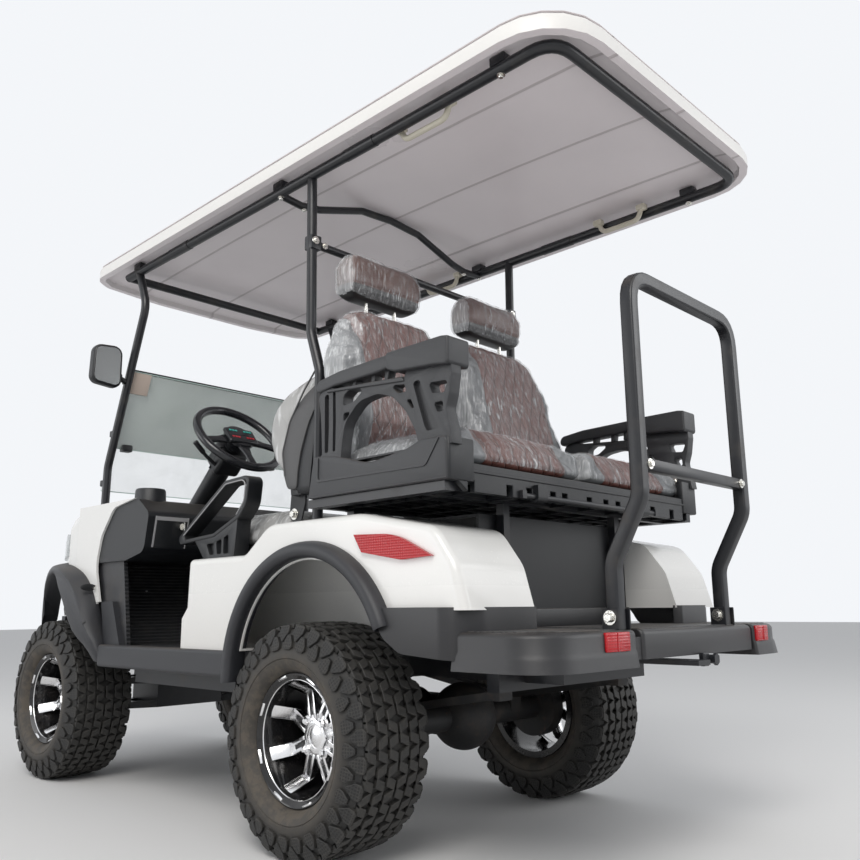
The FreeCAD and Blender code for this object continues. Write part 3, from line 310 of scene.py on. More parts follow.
# Shader maths
class Signal:
    """A socket in a finish. Python's arithmetic on it adds Math nodes."""

    def __init__(self, finish, socket):
        self.finish = finish
        self.socket = socket

    def math(self, operation, *values):
        return self.finish.add("ShaderNodeMath", {"operation": operation}, dict(enumerate(values)))

    def __add__(self, other):
        return self.math("ADD", self, other)

    def __sub__(self, other):
        return self.math("SUBTRACT", self, other)

    def __rsub__(self, other):
        return self.math("SUBTRACT", other, self)

    def __mul__(self, other):
        return self.math("MULTIPLY", self, other)

    def __truediv__(self, other):
        return self.math("DIVIDE", self, other)

    def __rtruediv__(self, other):
        return self.math("DIVIDE", other, self)

    def __pow__(self, other):
        return self.math("POWER", self, other)

    def __mod__(self, other):
        return self.math("FLOORED_MODULO", self, other)

    def __lt__(self, other):
        return self.math("LESS_THAN", self, other)

    def __gt__(self, other):
        return self.math("GREATER_THAN", self, other)

    def __abs__(self):
        return self.math("ABSOLUTE", self)

    def sin(self):
        return self.math("SINE", self)

    def most(self, other):
        return self.math("MAXIMUM", self, other)

    def least(self, other):
        return self.math("MINIMUM", self, other)

    def step(self, low, high):
        """0 below low, 1 above high, smooth between; low may be the larger."""
        return self.finish.add("ShaderNodeMapRange", {"interpolation_type": "SMOOTHSTEP"},
                               {"Value": self, "From Min": low, "From Max": high})

    __radd__ = __add__
    __rmul__ = __mul__


class Finish:
    """One material: its Principled shader and the nodes that feed it."""

    def __init__(self, name, **values):
        self.material = bpy.data.materials.new(name)
        self.material.use_nodes = True
        self.tree = self.material.node_tree
        self.shader = self.tree.nodes["Principled BSDF"]
        for socket, value in values.items():
            self.shader.inputs[socket.replace("_", " ")].default_value = value
        self.place = self.add("ShaderNodeTexCoord", {}, {}, "Object")

    def feed(self, socket, value):
        if isinstance(value, Signal):
            self.tree.links.new(value.socket, socket)
        elif socket.type == "RGBA" and len(value) == 3:
            socket.default_value = (*value, 1.0)
        else:
            socket.default_value = value

    def add(self, kind, settings, sockets, output=0):
        node = self.tree.nodes.new(kind)
        for name, value in settings.items():
            setattr(node, name, value)
        for name, value in sockets.items():
            self.feed(node.inputs[name], value)
        return Signal(self, node.outputs[output])

    def noise(self, scale, detail=3.0, roughness=0.5, at=None, stretch=None):
        where = at or self.place
        if stretch:
            where = self.add("ShaderNodeVectorMath", {"operation": "MULTIPLY"}, {0: where, 1: stretch})
        return self.add("ShaderNodeTexNoise", {}, {"Vector": where, "Scale": scale, "Detail": detail,
                                                   "Roughness": roughness})

    def cells(self, scale, feature="F1", randomness=1.0):
        return self.add("ShaderNodeTexVoronoi", {"feature": feature}, {"Vector": self.place, "Scale": scale,
                                                                      "Randomness": randomness})

    def axis(self, letter, at=None):
        return self.add("ShaderNodeSeparateXYZ", {}, {0: at or self.place}, "XYZ".index(letter))

    def mix(self, mask, first, second):
        return self.add("ShaderNodeMix", {"data_type": "RGBA"}, {0: mask, 6: first, 7: second}, 2)

    def color(self, value):
        self.feed(self.shader.inputs["Base Color"], value)

    def rough(self, value):
        self.feed(self.shader.inputs["Roughness"], value)

    def metal(self, value):
        self.feed(self.shader.inputs["Metallic"], value)

    def bump(self, height, distance, strength=1.0):
        """Height in 0..1 over a distance in metres."""
        normal = self.add("ShaderNodeBump", {}, {"Height": height, "Distance": distance, "Strength": strength})
        self.feed(self.shader.inputs["Normal"], normal)

    def facing_up(self):
        normal = self.add("ShaderNodeNewGeometry", {}, {}, "Normal")
        return self.axis("Z", normal)

# Finishes
DUST = (0.33, 0.28, 0.23)


def white_panel():
    finish = Finish("white_panel", Roughness=0.28, Coat_Weight=0.3, Coat_Roughness=0.1)
    cloud = finish.noise(3.0, 4.0)
    # lower down the panel is mixed further towards the dust colour, so it is darker and browner towards the bottom
    low = finish.axis("Z").step(0.75, 0.45)
    speck = finish.noise(160.0, 2.0).step(0.62, 0.8)
    dusty = low * 0.2 + speck * 0.1 + cloud.step(0.55, 0.9) * 0.06
    finish.color(finish.mix(dusty, (0.78, 0.78, 0.765), DUST))
    finish.rough(dusty * 0.9 + 0.24)
    finish.bump(finish.noise(38.0, 2.0), 0.0004, 0.25)
    return finish.material


def roof_panel():
    finish = Finish("roof_panel", Roughness=0.42)
    cloud = finish.noise(2.2, 5.0)
    under = finish.facing_up().step(0.1, -0.4)
    top = finish.mix(cloud * 0.25, (0.77, 0.765, 0.75), (0.68, 0.66, 0.63))
    # faces turned down get their own lighter, pinker colour: painted bounce light under the roof
    below = finish.mix(cloud.step(0.35, 0.8) * 0.5, (0.80, 0.745, 0.76), (0.70, 0.65, 0.67))
    # three long ribs under the panel, bumped and painted dark along their lines as painted shade
    rib = (abs((finish.axis("X") + 0.15) % 0.34 - 0.17)).step(0.008, 0.003) * under \
        * finish.axis("X").step(-0.42, -0.40) * finish.axis("X").step(0.42, 0.40)
    finish.color(finish.mix(rib * 0.45, finish.mix(under, top, below), (0.24, 0.20, 0.20)))
    finish.rough(cloud * 0.16 + 0.34 - under * 0.12)
    finish.bump(finish.noise(900.0, 2.0) * 0.15 + rib * 3.0, 0.001, 0.5)
    return finish.material


def grained(name, color, worn, roughness=0.5, size=1100.0):
    """Moulded plastic: leathery grain, faint streaks, pale scuffs where it is rubbed."""
    finish = Finish(name, Roughness=roughness)
    scuff = finish.noise(24.0, 6.0, 0.7, stretch=(1.0, 0.35, 1.0)).step(0.58, 0.8)
    dust = finish.facing_up().step(0.35, 1.0) * finish.noise(6.0, 4.0).step(0.3, 0.8)
    finish.color(finish.mix(dust * 0.2, finish.mix(scuff * 0.3, color, worn), DUST))
    finish.rough(scuff * 0.12 + dust * 0.2 + roughness)
    finish.bump(finish.cells(size) + finish.noise(60.0, 3.0) * 0.5, 0.00035, 0.5)
    return finish.material


def coated_steel(name, color, roughness=0.34):
    finish = Finish(name, Roughness=roughness)
    dust = finish.noise(12.0, 5.0).step(0.5, 0.85)
    finish.color(finish.mix(dust * 0.12, color, DUST))
    finish.rough(dust * 0.25 + roughness)
    finish.bump(finish.noise(420.0, 2.0), 0.0002, 0.4)
    return finish.material


def underbody():
    finish = Finish("underbody", Roughness=0.7)
    rust = finish.noise(30.0, 6.0, 0.7).step(0.55, 0.75)
    mud = finish.noise(9.0, 5.0, 0.65).step(0.45, 0.8)
    base = finish.mix(rust * 0.5, (0.022, 0.022, 0.023), (0.10, 0.055, 0.035))
    finish.color(finish.mix(mud * 0.35, base, (0.16, 0.13, 0.105)))
    finish.metal(0.25)
    finish.rough(mud * 0.3 + 0.55)
    finish.bump(finish.noise(180.0, 4.0), 0.0008, 0.5)
    return finish.material


def wheel_radius(finish):
    """Distance from the nearer axle's line: the axles lie 0.8 m either side of y = 0.2335."""
    ahead = abs(finish.axis("Y") - 0.2335) - 0.8
    up = finish.axis("Z") - AXLE_Z
    return (ahead * ahead + up * up) ** 0.5


def tyre_rubber():
    """Black rubber with dried mud on the bead and sidewall, dust in the tread, pierced dimples on the shoulders painted
    near-black as painted shade in their hollows.
    """
    finish = Finish("tyre_rubber", Roughness=0.75)
    radius = wheel_radius(finish)
    clods = finish.noise(26.0, 7.0, 0.72)
    bead = radius.step(0.225, 0.168) * clods.step(0.40, 0.66)
    film = radius.step(0.262, 0.18) * 0.32
    tread = radius.step(0.276, 0.284)
    map_uv = finish.add("ShaderNodeUVMap", {"uv_map": "UVMap"}, {})
    across, along = finish.axis("X", map_uv), finish.axis("Y", map_uv)
    dot = (abs(across % 1.0 - 0.5).most(abs(along % 1.0 - 0.5))).step(0.34, 0.24) * across.step(0.02, 0.1)
    dry = finish.noise(60.0, 4.0).step(0.35, 0.75)
    base = finish.mix(dry * 0.5 + tread * 0.25, (0.016, 0.016, 0.016), (0.050, 0.047, 0.042))
    muddy = finish.mix((bead + film).least(0.85), base, (0.098, 0.083, 0.066))
    # the dimples are painted near-black: painted shade in their hollows
    finish.color(finish.mix(dot * 0.85, muddy, (0.006, 0.006, 0.006)))
    finish.rough(bead * 0.2 + dry * 0.12 + 0.6)
    finish.bump(clods * radius.step(0.24, 0.2) * 0.8 + finish.noise(320.0, 3.0) * 0.3 - dot * 1.4, 0.0011, 0.8)
    return finish.material


def machined_alloy():
    finish = Finish("machined_alloy", Metallic=1.0, Roughness=0.25)
    radius = wheel_radius(finish)
    turned = finish.noise(14.0, 2.0, at=finish.add("ShaderNodeCombineXYZ", {}, {0: radius * 60.0}))
    smear = finish.noise(40.0, 5.0, 0.7).step(0.5, 0.8)
    finish.color(finish.mix(smear * 0.35, (0.86, 0.86, 0.87), (0.5, 0.48, 0.45)))
    finish.rough(turned * 0.12 + smear * 0.25 + 0.14)
    finish.bump(turned, 0.0002, 0.4)
    return finish.material


def black_lacquer():
    finish = Finish("black_lacquer", Roughness=0.14)
    brake_dust = finish.noise(22.0, 6.0, 0.7).step(0.45, 0.85)
    finish.color(finish.mix(brake_dust * 0.3, (0.012, 0.012, 0.013), (0.09, 0.075, 0.06)))
    finish.rough(brake_dust * 0.4 + 0.12)
    return finish.material


def chrome(name="zinc_bolts", color=(0.75, 0.74, 0.7)):
    finish = Finish(name, Metallic=1.0, Roughness=0.2)
    tarnish = finish.noise(240.0, 4.0).step(0.5, 0.8)
    finish.color(finish.mix(tarnish * 0.5, color, (0.35, 0.29, 0.2)))
    finish.rough(tarnish * 0.3 + 0.15)
    return finish.material


def hide(name, middle, edge, split, quilt=0.0):
    """Seat leather: pebbled, creased, its middle panel quilted with its seams painted near-black as painted shade in
    the quilt's valleys, and its side panels of another colour.

    split is the half width of the middle panel about the seat's centre line, 0.262 m from the cart's.
    """
    finish = Finish(name, Roughness=0.42)
    off = abs(abs(finish.axis("X")) - 0.262)
    outer = off.step(split - 0.002, split + 0.002)
    run = finish.axis("Z") - finish.axis("Y")
    a = abs((off + run * 0.6) / 0.052 % 1.0 - 0.5)
    b = abs((off - run * 0.6) / 0.052 % 1.0 - 0.5)
    seam = (a.most(b)).step(0.43, 0.5) * (1.0 - outer) * quilt
    puff = (1.0 - a.most(b) * 2.0) * (1.0 - outer) * quilt
    fade = finish.noise(7.0, 4.0).step(0.3, 0.8)
    worn = finish.mix(fade * 0.35, middle, tuple(c * 1.5 + 0.01 for c in middle))
    # the quilt seams are darkened: painted shade in the valleys
    finish.color(finish.mix(seam * 0.55, finish.mix(outer, worn, edge), (0.02, 0.012, 0.01)))
    finish.rough(fade * 0.12 + 0.36)
    pebble = finish.cells(620.0)
    finish.bump(puff * 5.0 - seam * 2.0 + pebble * 0.25 + finish.noise(30.0, 4.0) * 0.9, 0.0012, 0.7)
    return finish.material


def wrapping_film():
    """Clear plastic wrapping: thin hazy white film with bare patches; its opaque white streaks along the creases are
    painted highlights, and it is whiter where it faces sideways or forward, a painted reflection.
    """
    finish = Finish("wrapping_film", Roughness=0.16, IOR=1.5)
    run = finish.noise(11.0, 3.0, 0.6, stretch=(1.0, 1.0, 0.5))
    crease = finish.noise(62.0, 2.0, 0.5, stretch=(1.5, 1.2, 0.15))
    # bright: opaque white streaks along the creases, painted highlights
    bright = crease.step(0.55, 0.70) * run.step(0.36, 0.60)
    fine = finish.noise(120.0, 2.0, 0.5, stretch=(1.6, 1.3, 0.14)).step(0.48, 0.75)
    normal = finish.add("ShaderNodeNewGeometry", {}, {}, "Normal")
    sideways = abs(finish.axis("X", normal)).step(0.35, 0.85)
    ahead = finish.axis("Y", normal).step(0.1, 0.6)
    # the film is whiter where its surface faces sideways or forward: painted reflection
    painted_glancing_white = sideways.most(ahead)
    finish.color((0.82, 0.84, 0.86))
    finish.feed(finish.shader.inputs["Alpha"], (bright * (0.26 + painted_glancing_white * 0.2) + fine * 0.26 + run * 0.14 + painted_glancing_white * (0.12 + crease * 0.3) + 0.03).least(0.9))
    finish.bump(crease * 1.0 + run * 1.2, 0.006, 0.8)
    return finish.material


def wrapped_vinyl():
    """Pale grey vinyl under tight clear film: long creases across it, painted pale along them as painted highlights on
    the film, and a soft sheen.
    """
    finish = Finish("wrapped_vinyl", Roughness=0.3)
    crease = finish.noise(34.0, 3.0, 0.5, stretch=(1.2, 1.6, 0.3))
    line = crease.step(0.52, 0.66)
    cloud = finish.noise(6.0, 3.0)
    base = finish.mix(cloud, (0.30, 0.30, 0.30), (0.42, 0.42, 0.41))
    # pale lines along the creases: painted highlights on the film
    finish.color(finish.mix(line * 0.5, base, (0.72, 0.73, 0.74)))
    finish.rough(cloud * 0.2 + 0.16)
    finish.bump(crease + finish.cells(500.0) * 0.05, 0.007, 0.6)
    return finish.material


def clear_sheet(name, color, alpha, roughness):
    finish = Finish(name, Roughness=roughness, Alpha=alpha)
    haze = finish.noise(5.0, 5.0, 0.6).step(0.35, 0.85)
    speck = finish.noise(220.0, 2.0).step(0.66, 0.75)
    finish.color(color)
    finish.feed(finish.shader.inputs["Alpha"], (haze * 0.10 + speck * 0.10 + alpha).least(1.0))
    finish.rough(haze * 0.1 + roughness)
    return finish.material


def red_glass():
    finish = Finish("red_glass", Roughness=0.08)
    # the prism facets are bumped and painted lighter and darker across each facet: painted facet shading
    prism_facets_and_shade = abs(finish.axis("Y") * 160.0 % 1.0 - 0.5) + abs(finish.axis("X") * 160.0 % 1.0 - 0.5) \
        + abs(finish.axis("Z") * 160.0 % 1.0 - 0.5)
    finish.color(finish.mix(prism_facets_and_shade * 0.5, (0.55, 0.010, 0.016), (0.22, 0.004, 0.008)))
    finish.bump(prism_facets_and_shade, 0.0012, 0.8)
    return finish.material


def moulded(name, color, roughness=0.4):
    finish = Finish(name, Roughness=roughness)
    cloud = finish.noise(14.0, 4.0)
    finish.color(finish.mix(cloud * 0.4, color, tuple(c * 0.8 for c in color)))
    finish.rough(cloud * 0.15 + roughness)
    finish.bump(finish.noise(500.0, 2.0), 0.0002, 0.3)
    return finish.material


def floor_mat():
    """Ribbed rubber mat: fine ribs across the cart, lighter on their crests and darker between them, with patchy dust;
    faces turned sideways are painted lighter as painted light.
    """
    finish = Finish("floor_mat", Roughness=0.6)
    normal = finish.add("ShaderNodeNewGeometry", {}, {}, "Normal")
    sideways_face_and_light = abs(finish.axis("X", normal)).step(0.4, 0.7)
    rib = (abs((finish.axis("Y") + finish.axis("Z")) / 0.017 % 1.0 - 0.5).step(0.18, 0.34)) * (1.0 - sideways_face_and_light)
    dust = finish.noise(20.0, 6.0, 0.7).step(0.4, 0.8)
    # ribs lighter on their crests; faces turned sideways painted lighter: painted light
    finish.color(finish.mix(dust * 0.08, finish.mix(rib.most(sideways_face_and_light * 0.7), (0.009, 0.010, 0.012), (0.036, 0.037, 0.041)), DUST))
    finish.rough(dust * 0.2 + 0.45)
    finish.bump(rib, 0.003, 1.0)
    return finish.material


def tread_plate():
    """Footplate top: crossed raised bars on a dusty black moulding."""
    finish = Finish("tread_plate", Roughness=0.5)
    x, y = finish.axis("X") / 0.036, finish.axis("Y") / 0.036
    even = ((x + y) % 1.0 - 0.5).step(-0.02, 0.02)
    along = abs((x + y) * 2.0 % 1.0 - 0.5).step(0.12, 0.24)
    other = abs((x - y) * 2.0 % 1.0 - 0.5).step(0.12, 0.24)
    bar = along * even + other * (1.0 - even)
    dust = finish.noise(8.0, 6.0, 0.7).step(0.35, 0.75)
    finish.color(finish.mix(dust * 0.35, finish.mix(bar, (0.02, 0.021, 0.023), (0.05, 0.052, 0.056)), DUST))
    finish.rough(dust * 0.2 + 0.42)
    finish.bump(bar, 0.003, 1.0)
    return finish.material


MATERIALS = {
    "white_body": white_panel(),
    "roof_white": roof_panel(),
    "black_frame": coated_steel("black_frame", (0.011, 0.012, 0.015)),
    "axle_steel": underbody(),
    "grey_trim": grained("grey_trim", (0.019, 0.020, 0.024), (0.09, 0.09, 0.095), 0.45),
    "black_trim": grained("black_trim", (0.007, 0.008, 0.010), (0.04, 0.04, 0.045), 0.4),
    "battery_case": grained("battery_case", (0.03, 0.03, 0.032), (0.08, 0.08, 0.08), 0.6),
    "tyre_rubber": tyre_rubber(),
    "alloy": machined_alloy(),
    "brown_leather": hide("brown_leather", (0.155, 0.058, 0.046), (0.17, 0.18, 0.19), 0.165, 1.0),
    "grey_leather": wrapped_vinyl(),
    "clear_glass": clear_sheet("windshield_glass", (0.55, 0.62, 0.60), 0.10, 0.04),
    "clear_lens": clear_sheet("headlamp_lens", (0.62, 0.66, 0.68), 0.5, 0.05),
    "red_lens": red_glass(),
}
LACQUER = black_lacquer()
BOLTS = chrome()
FILM = wrapping_film()
CREAM = moulded("cream_handle", (0.62, 0.58, 0.48))
TAPE = moulded("masking_tape", (0.62, 0.52, 0.45), 0.7)
MAT = floor_mat()
TREAD = tread_plate()
MILKY = clear_sheet("milky_pane", (0.56, 0.62, 0.59), 0.62, 0.12)
GLOSS = moulded("gloss_black", (0.014, 0.015, 0.018), 0.12)
SCOOP_SHADE = moulded("scoop_shade_black", (0.006, 0.0065, 0.008), 0.6)
BROWN_HEAD = hide("headrest_leather", (0.125, 0.050, 0.038), (0.02, 0.02, 0.02), 0.5, 0.0)
for subpart in frame["record"]["subparts"]:
    for holder in frame["nodes"][subpart["node"]].material_slots:
        holder.material = MATERIALS[subpart["material_slot"]]
for holder in frame["nodes"]["floor_pan"].material_slots:
    holder.material = MAT


# Wheels: made once about the origin with the face towards +X, then copied to the four places
PITCHES = 28


def lug(name, outline, origin, along, out, height, dimples=False):
    """A rubber block on the tyre's skin: outline corners are (along, sideways) in metres from origin."""
    origin, along, out = Vector(origin), Vector(along).normalized(), Vector(out).normalized()
    across_it = Vector((0, 0, 1))
    piece = start("circle", name, vertices=len(outline), fill_type="NGON")
    for vertex, (a, u) in zip(piece.data.vertices, outline):
        vertex.co = origin + along * a + across_it * u
    pull(piece, out * height)

    def top(face):
        return face.normal.dot(out) > 0.9

    edit(piece, ("inset", {"thickness": 0.0014, "depth": 0.0012}), faces=top)
    map_uv = piece.data.uv_layers.active or piece.data.uv_layers.new(name="UVMap")
    map_uv.name = "UVMap"
    crest = max(v.co.dot(out) for v in piece.data.vertices)
    for face in piece.data.polygons:
        upper = dimples and face.normal.dot(out) > 0.98 and face.center.dot(out) > crest - 0.0002
        for loop in face.loop_indices:
            spot = piece.data.vertices[piece.data.loops[loop].vertex_index].co - origin
            map_uv.data[loop].uv = ((spot.z / 0.0078 + 20.0, spot.dot(along) / 0.0078) if upper else (0.0, 0.0))
    return piece


def tyre():
    half = [(0.078, 0.1531), (0.0860, 0.1545), (0.0868, 0.1650), (0.0960, 0.1690), (0.1080, 0.1765), (0.1165, 0.1870),
            (0.1205, 0.1990), (0.1190, 0.2010), (0.1215, 0.2030), (0.1222, 0.2140), (0.1195, 0.2240),
            (0.1165, 0.2290), (0.1135, 0.2440), (0.1075, 0.2620), (0.1000, 0.2740), (0.0880, 0.2790),
            (0.0450, 0.2812)]
    section = half + [(-x, r) for x, r in reversed(half)]
    body = spun("tyre", section, 2 * PITCHES)
    map_uv = body.data.uv_layers.active or body.data.uv_layers.new(name="UVMap")
    map_uv.name = "UVMap"
    for loop in map_uv.data:
        loop.uv = (0.0, 0.0)
    lugs = []
    # tread bars: x of the column's middle, half width, height
    columns = ((0.0175, 0.0140, 0.0108), (0.0520, 0.0140, 0.0104), (0.0855, 0.0135, 0.0088))
    for s in (-1, 1):
        for x, w, h in columns:
            for row in (0, 1):
                lean = 0.0065 if row else -0.0065
                base = 0.2812 - max(0, (x - 0.045)) * 0.05
                outline = [(-w, -0.0118 - lean), (w, -0.0118 + lean), (w, 0.0118 + lean), (-w, 0.0118 - lean)]
                bar = lug("bar", outline, (s * x, base - 0.002, 0), (s, 0, 0), (0, 1, 0), h + 0.0012)
                lugs.append(again(bar, "bar", turn=Matrix.Rotation(math.pi / PITCHES * (row + 0.5), 4, "X")))
                bpy.data.objects.remove(bar)
    low = [(0.0, -0.0115), (0.0, 0.0115), (0.0075, 0.0175), (0.0180, 0.0165), (0.0375, 0.0060), (0.0375, -0.0060),
           (0.0180, -0.0165), (0.0075, -0.0175)]
    high = [(0.0, -0.0030), (0.0, 0.0030), (0.0230, 0.0195), (0.0380, 0.0195), (0.0440, 0.0130), (0.0440, -0.0130),
            (0.0380, -0.0195), (0.0230, -0.0195)]
    # shoulder lugs: outline, start (x, radius), end (x, radius), turn in half pitches
    rows = ((low, (0.1160, 0.2230), (0.1075, 0.2620), 0), (high, (0.1110, 0.2430), (0.0960, 0.2830), 1))
    for s in (-1, 1):
        for outline, (x0, r0), (x1, r1), turn in rows:
            along = Vector((s * (x1 - x0), r1 - r0, 0)).normalized()
            out = Vector((along.y, -along.x, 0)) * s
            out = out if out.x * s > 0 else -out
            block_ = lug("shoulder", outline, (s * x0, r0, 0), along, out, 0.0088, dimples=True)
            half_turn = turn + (0 if s > 0 else 1)
            lugs.append(again(block_, "shoulder", turn=Matrix.Rotation(math.pi / PITCHES * half_turn, 4, "X")))
            bpy.data.objects.remove(block_)
    pitch = join(*lugs)
    ring = [again(pitch, "pitch", turn=Matrix.Rotation(2 * math.pi * i / PITCHES, 4, "X")) for i in range(PITCHES)]
    bpy.data.objects.remove(pitch)
    return join(body, *ring)


def rim():
    """The dark barrel and flange, the bright spokes, and the hub with its nuts."""
    barrel = spun("rim_barrel", [
        (-0.0950, 0.1445), (-0.0950, 0.1640), (-0.0935, 0.1650), (-0.0880, 0.1650), (-0.0870, 0.1524), (0.0868, 0.1524),
        (0.0872, 0.1635), (0.0895, 0.1660), (0.0935, 0.1655), (0.0950, 0.1625), (0.0935, 0.1590), (0.0905, 0.1560),
        (0.0875, 0.1500), (0.0830, 0.1455), (0.0760, 0.1445), (0.0200, 0.1440), (-0.0500, 0.1440)], 96)
    edge = spun("rim_edge", [(0.0838, 0.1468), (0.0856, 0.1478), (0.0862, 0.1466), (0.0842, 0.1452)], 96)
    pad = flat("spoke", [(93.6, 163.2), (95.4, 157.0), (15.5, 120.0), (3.0, 112.0), (58.0, 144.8), (85.5, 151.0)],
               lambda x, r: Vector((x / 1000, r / 1000, -0.0178)))
    pull(pad, (0, 0, 0.0356))
    for vertex in pad.data.vertices:
        if vertex.co.y < 0.13:
            vertex.co.z *= 0.93
    outline = [(16.0, 121.0), (16.5, 100.0), (19.0, 80.0), (22.0, 60.0), (22.0, 44.0), (-6.0, 44.0), (-4.0, 60.0),
               (-3.0, 98.0), (3.0, 112.0)]
    rib = flat("rib", outline, lambda x, r: Vector((x / 1000, r / 1000, 0.0066)))
    pull(rib, (0, 0, 0.0096))
    twin = again(rib, "rib", turn=Matrix.Scale(-1, 4, (0, 0, 1)))
    spoke = bevelled(outward(join(pad, rib, twin)), 0.0011, 2)
    floor = flat("groove", [(x - 9.0, r) for x, r in outline], lambda x, r: Vector((x / 1000, r / 1000, -0.0068)))
    pull(floor, (0, 0, 0.0136))
    spokes, grooves = [], []
    for i in range(8):
        turn = Matrix.Rotation(math.radians(24 + 45 * i), 4, "X")
        spokes.append(again(spoke, "spoke", turn=turn))
        grooves.append(again(floor, "groove", turn=turn))
    bpy.data.objects.remove(spoke)
    bpy.data.objects.remove(floor)
    hub = spun("hub", [(-0.038, 0.026), (-0.038, 0.058), (0.010, 0.060), (0.0165, 0.0565), (0.0180, 0.050),
                       (0.0180, 0.001), (0.008, 0.001), (0.008, 0.026)], 48)
    cap = bevelled(rod("cap", (0.016, 0, 0), (0.0285, 0, 0), 0.0455, 8), 0.003, 2)
    edit(cap, ("inset", {"thickness": 0.010, "depth": 0.0}), ("inset", {"thickness": 0.002, "depth": -0.004}),
         ("inset", {"thickness": 0.012, "depth": 0.005}), faces=lambda f: f.normal.x > 0.95 and f.center.x > 0.028)
    nuts = []
    for i in range(4):
        turn = Matrix.Rotation(math.radians(-43.5 + 90 * i), 4, "X")
        nut = rod("nut", (0.014, 0.0508, 0), (0.034, 0.0508, 0), 0.0098, 6)
        edit(nut, ("inset", {"thickness": 0.003, "depth": 0.003}), faces=lambda f: f.normal.x > 0.9)
        collar = rod("collar", (0.014, 0.0508, 0), (0.0235, 0.0508, 0), 0.0135, 20)
        nuts.append(again(join(nut, collar), "nut", turn=turn))
        bpy.data.objects.remove(nut)
    bright = outward(join(spokes[0], *spokes[1:], hub, cap, edge, *nuts))
    dark = join(barrel, *grooves)
    return dark, bright


def place_wheels():
    rubber = tyre()
    dark, bright = rim()
    dark.name, bright.name = "dark", "bright"
    for name, x, y in WHEELS:
        outside = Matrix.Scale(-1, 4, (1, 0, 0)) if x < 0 else None
        spot = (x, y + SHIFT, AXLE_Z)
        for made, kind, material in ((rubber, "tyre", None), (dark, "rim_barrel", LACQUER), (bright, "rim_spokes", None)):
            piece = again(made, kind + "_wheel_" + name, spot, outside)
            if x < 0:
                edit(piece, ("normals_make_consistent", {"inside": False}))
            node = {"tyre": ("tyre_" + name,), "rim_barrel": ("rim_" + name,), "rim_spokes": ()}[kind]
            finish(piece, "wheel_" + name, "tyre_rubber" if kind == "tyre" else "alloy", material, node)
    for made in (rubber, dark, bright):
        bpy.data.objects.remove(made)


place_wheels()


# Seats: padded pieces are inflated from plain forms, then seamed; clear film is stretched over the rear ones
def carved(name, face, profile, depth, width):
    """What a front outline (x, z) and a side outline (y, z) have in common, in millimetres."""
    front = across(name, face, *depth)
    return cut(front, side("profile", profile, *width), "INTERSECT")


def stuffed(piece, cell, rise, held):
    """Round a plain form off, blow it up like a cushion and let no point travel further than rise."""
    modify(piece, "REMESH", mode="VOXEL", voxel_size=cell)
    modify(piece, "SMOOTH", factor=0.5, iterations=14)
    modify(piece, "DISPLACE", strength=-0.003, mid_level=0.0)
    rest = [vertex.co.copy() for vertex in piece.data.vertices]
    pinned = piece.vertex_groups.new(name="pinned")
    pinned.add([v.index for v in piece.data.vertices if held(v.co)], 1.0, "REPLACE")
    alone(piece)
    bpy.ops.object.modifier_add(type="CLOTH")
    cloth = piece.modifiers[-1]
    cloth.settings.quality = 3
    cloth.settings.use_pressure = True
    cloth.settings.uniform_pressure_force = 4.0
    cloth.settings.vertex_group_mass = "pinned"
    cloth.settings.effector_weights.gravity = 0.0
    cloth.point_cache.frame_start = 1
    cloth.point_cache.frame_end = 20
    for moment in range(1, 21):
        bpy.context.scene.frame_set(moment)
    bpy.ops.object.modifier_apply(modifier=cloth.name)
    bpy.context.scene.frame_set(1)
    for vertex, was in zip(piece.data.vertices, rest):
        travel = vertex.co - was
        if travel.length > rise:
            vertex.co = was + travel.normalized() * rise
    modify(piece, "SMOOTH", factor=0.5, iterations=3)
    return piece


def seamed(piece, depth):
    """Push each point in along its normal by depth(point, normal), in metres."""
    displaced(piece, lambda point, normal: normal * -depth(point, normal))
    return modify(piece, "SUBSURF", levels=1, render_levels=1)


def dip(distance, width):
    return math.exp(-(distance / width) ** 2)


def panel_seams(point, normal):
    """Piping between the middle and side panels, and soft channels down the middle one."""
    off = abs(abs(point.x) - 0.262)
    depth = 0.0045 * dip(off - 0.165, 0.006)
    if off < 0.16:
        depth += 0.0022 * dip((off + 0.0275) % 0.055 - 0.0275, 0.009)
    return depth


def film_over(piece, name, open_side, body, out=0.004, folds=0.0035):
    """Clear wrapping: a copy of the padded surface, left open on one side, creased and pulled clear of it."""
    film = again(piece, name)
    edit(film, ("delete", {"type": "FACE"}), faces=open_side)

    def crease(spot, normal):
        fold = noise.noise(Vector((spot.x * 30, spot.y * 30, spot.z * 9))) \
            + 0.5 * noise.noise(Vector((spot.x * 80, spot.y * 80, spot.z * 30)))
        return normal * (out + folds * fold)

    displaced(film, crease)
    finish(film, body, "clear_glass", FILM, smooth=70)
    return film


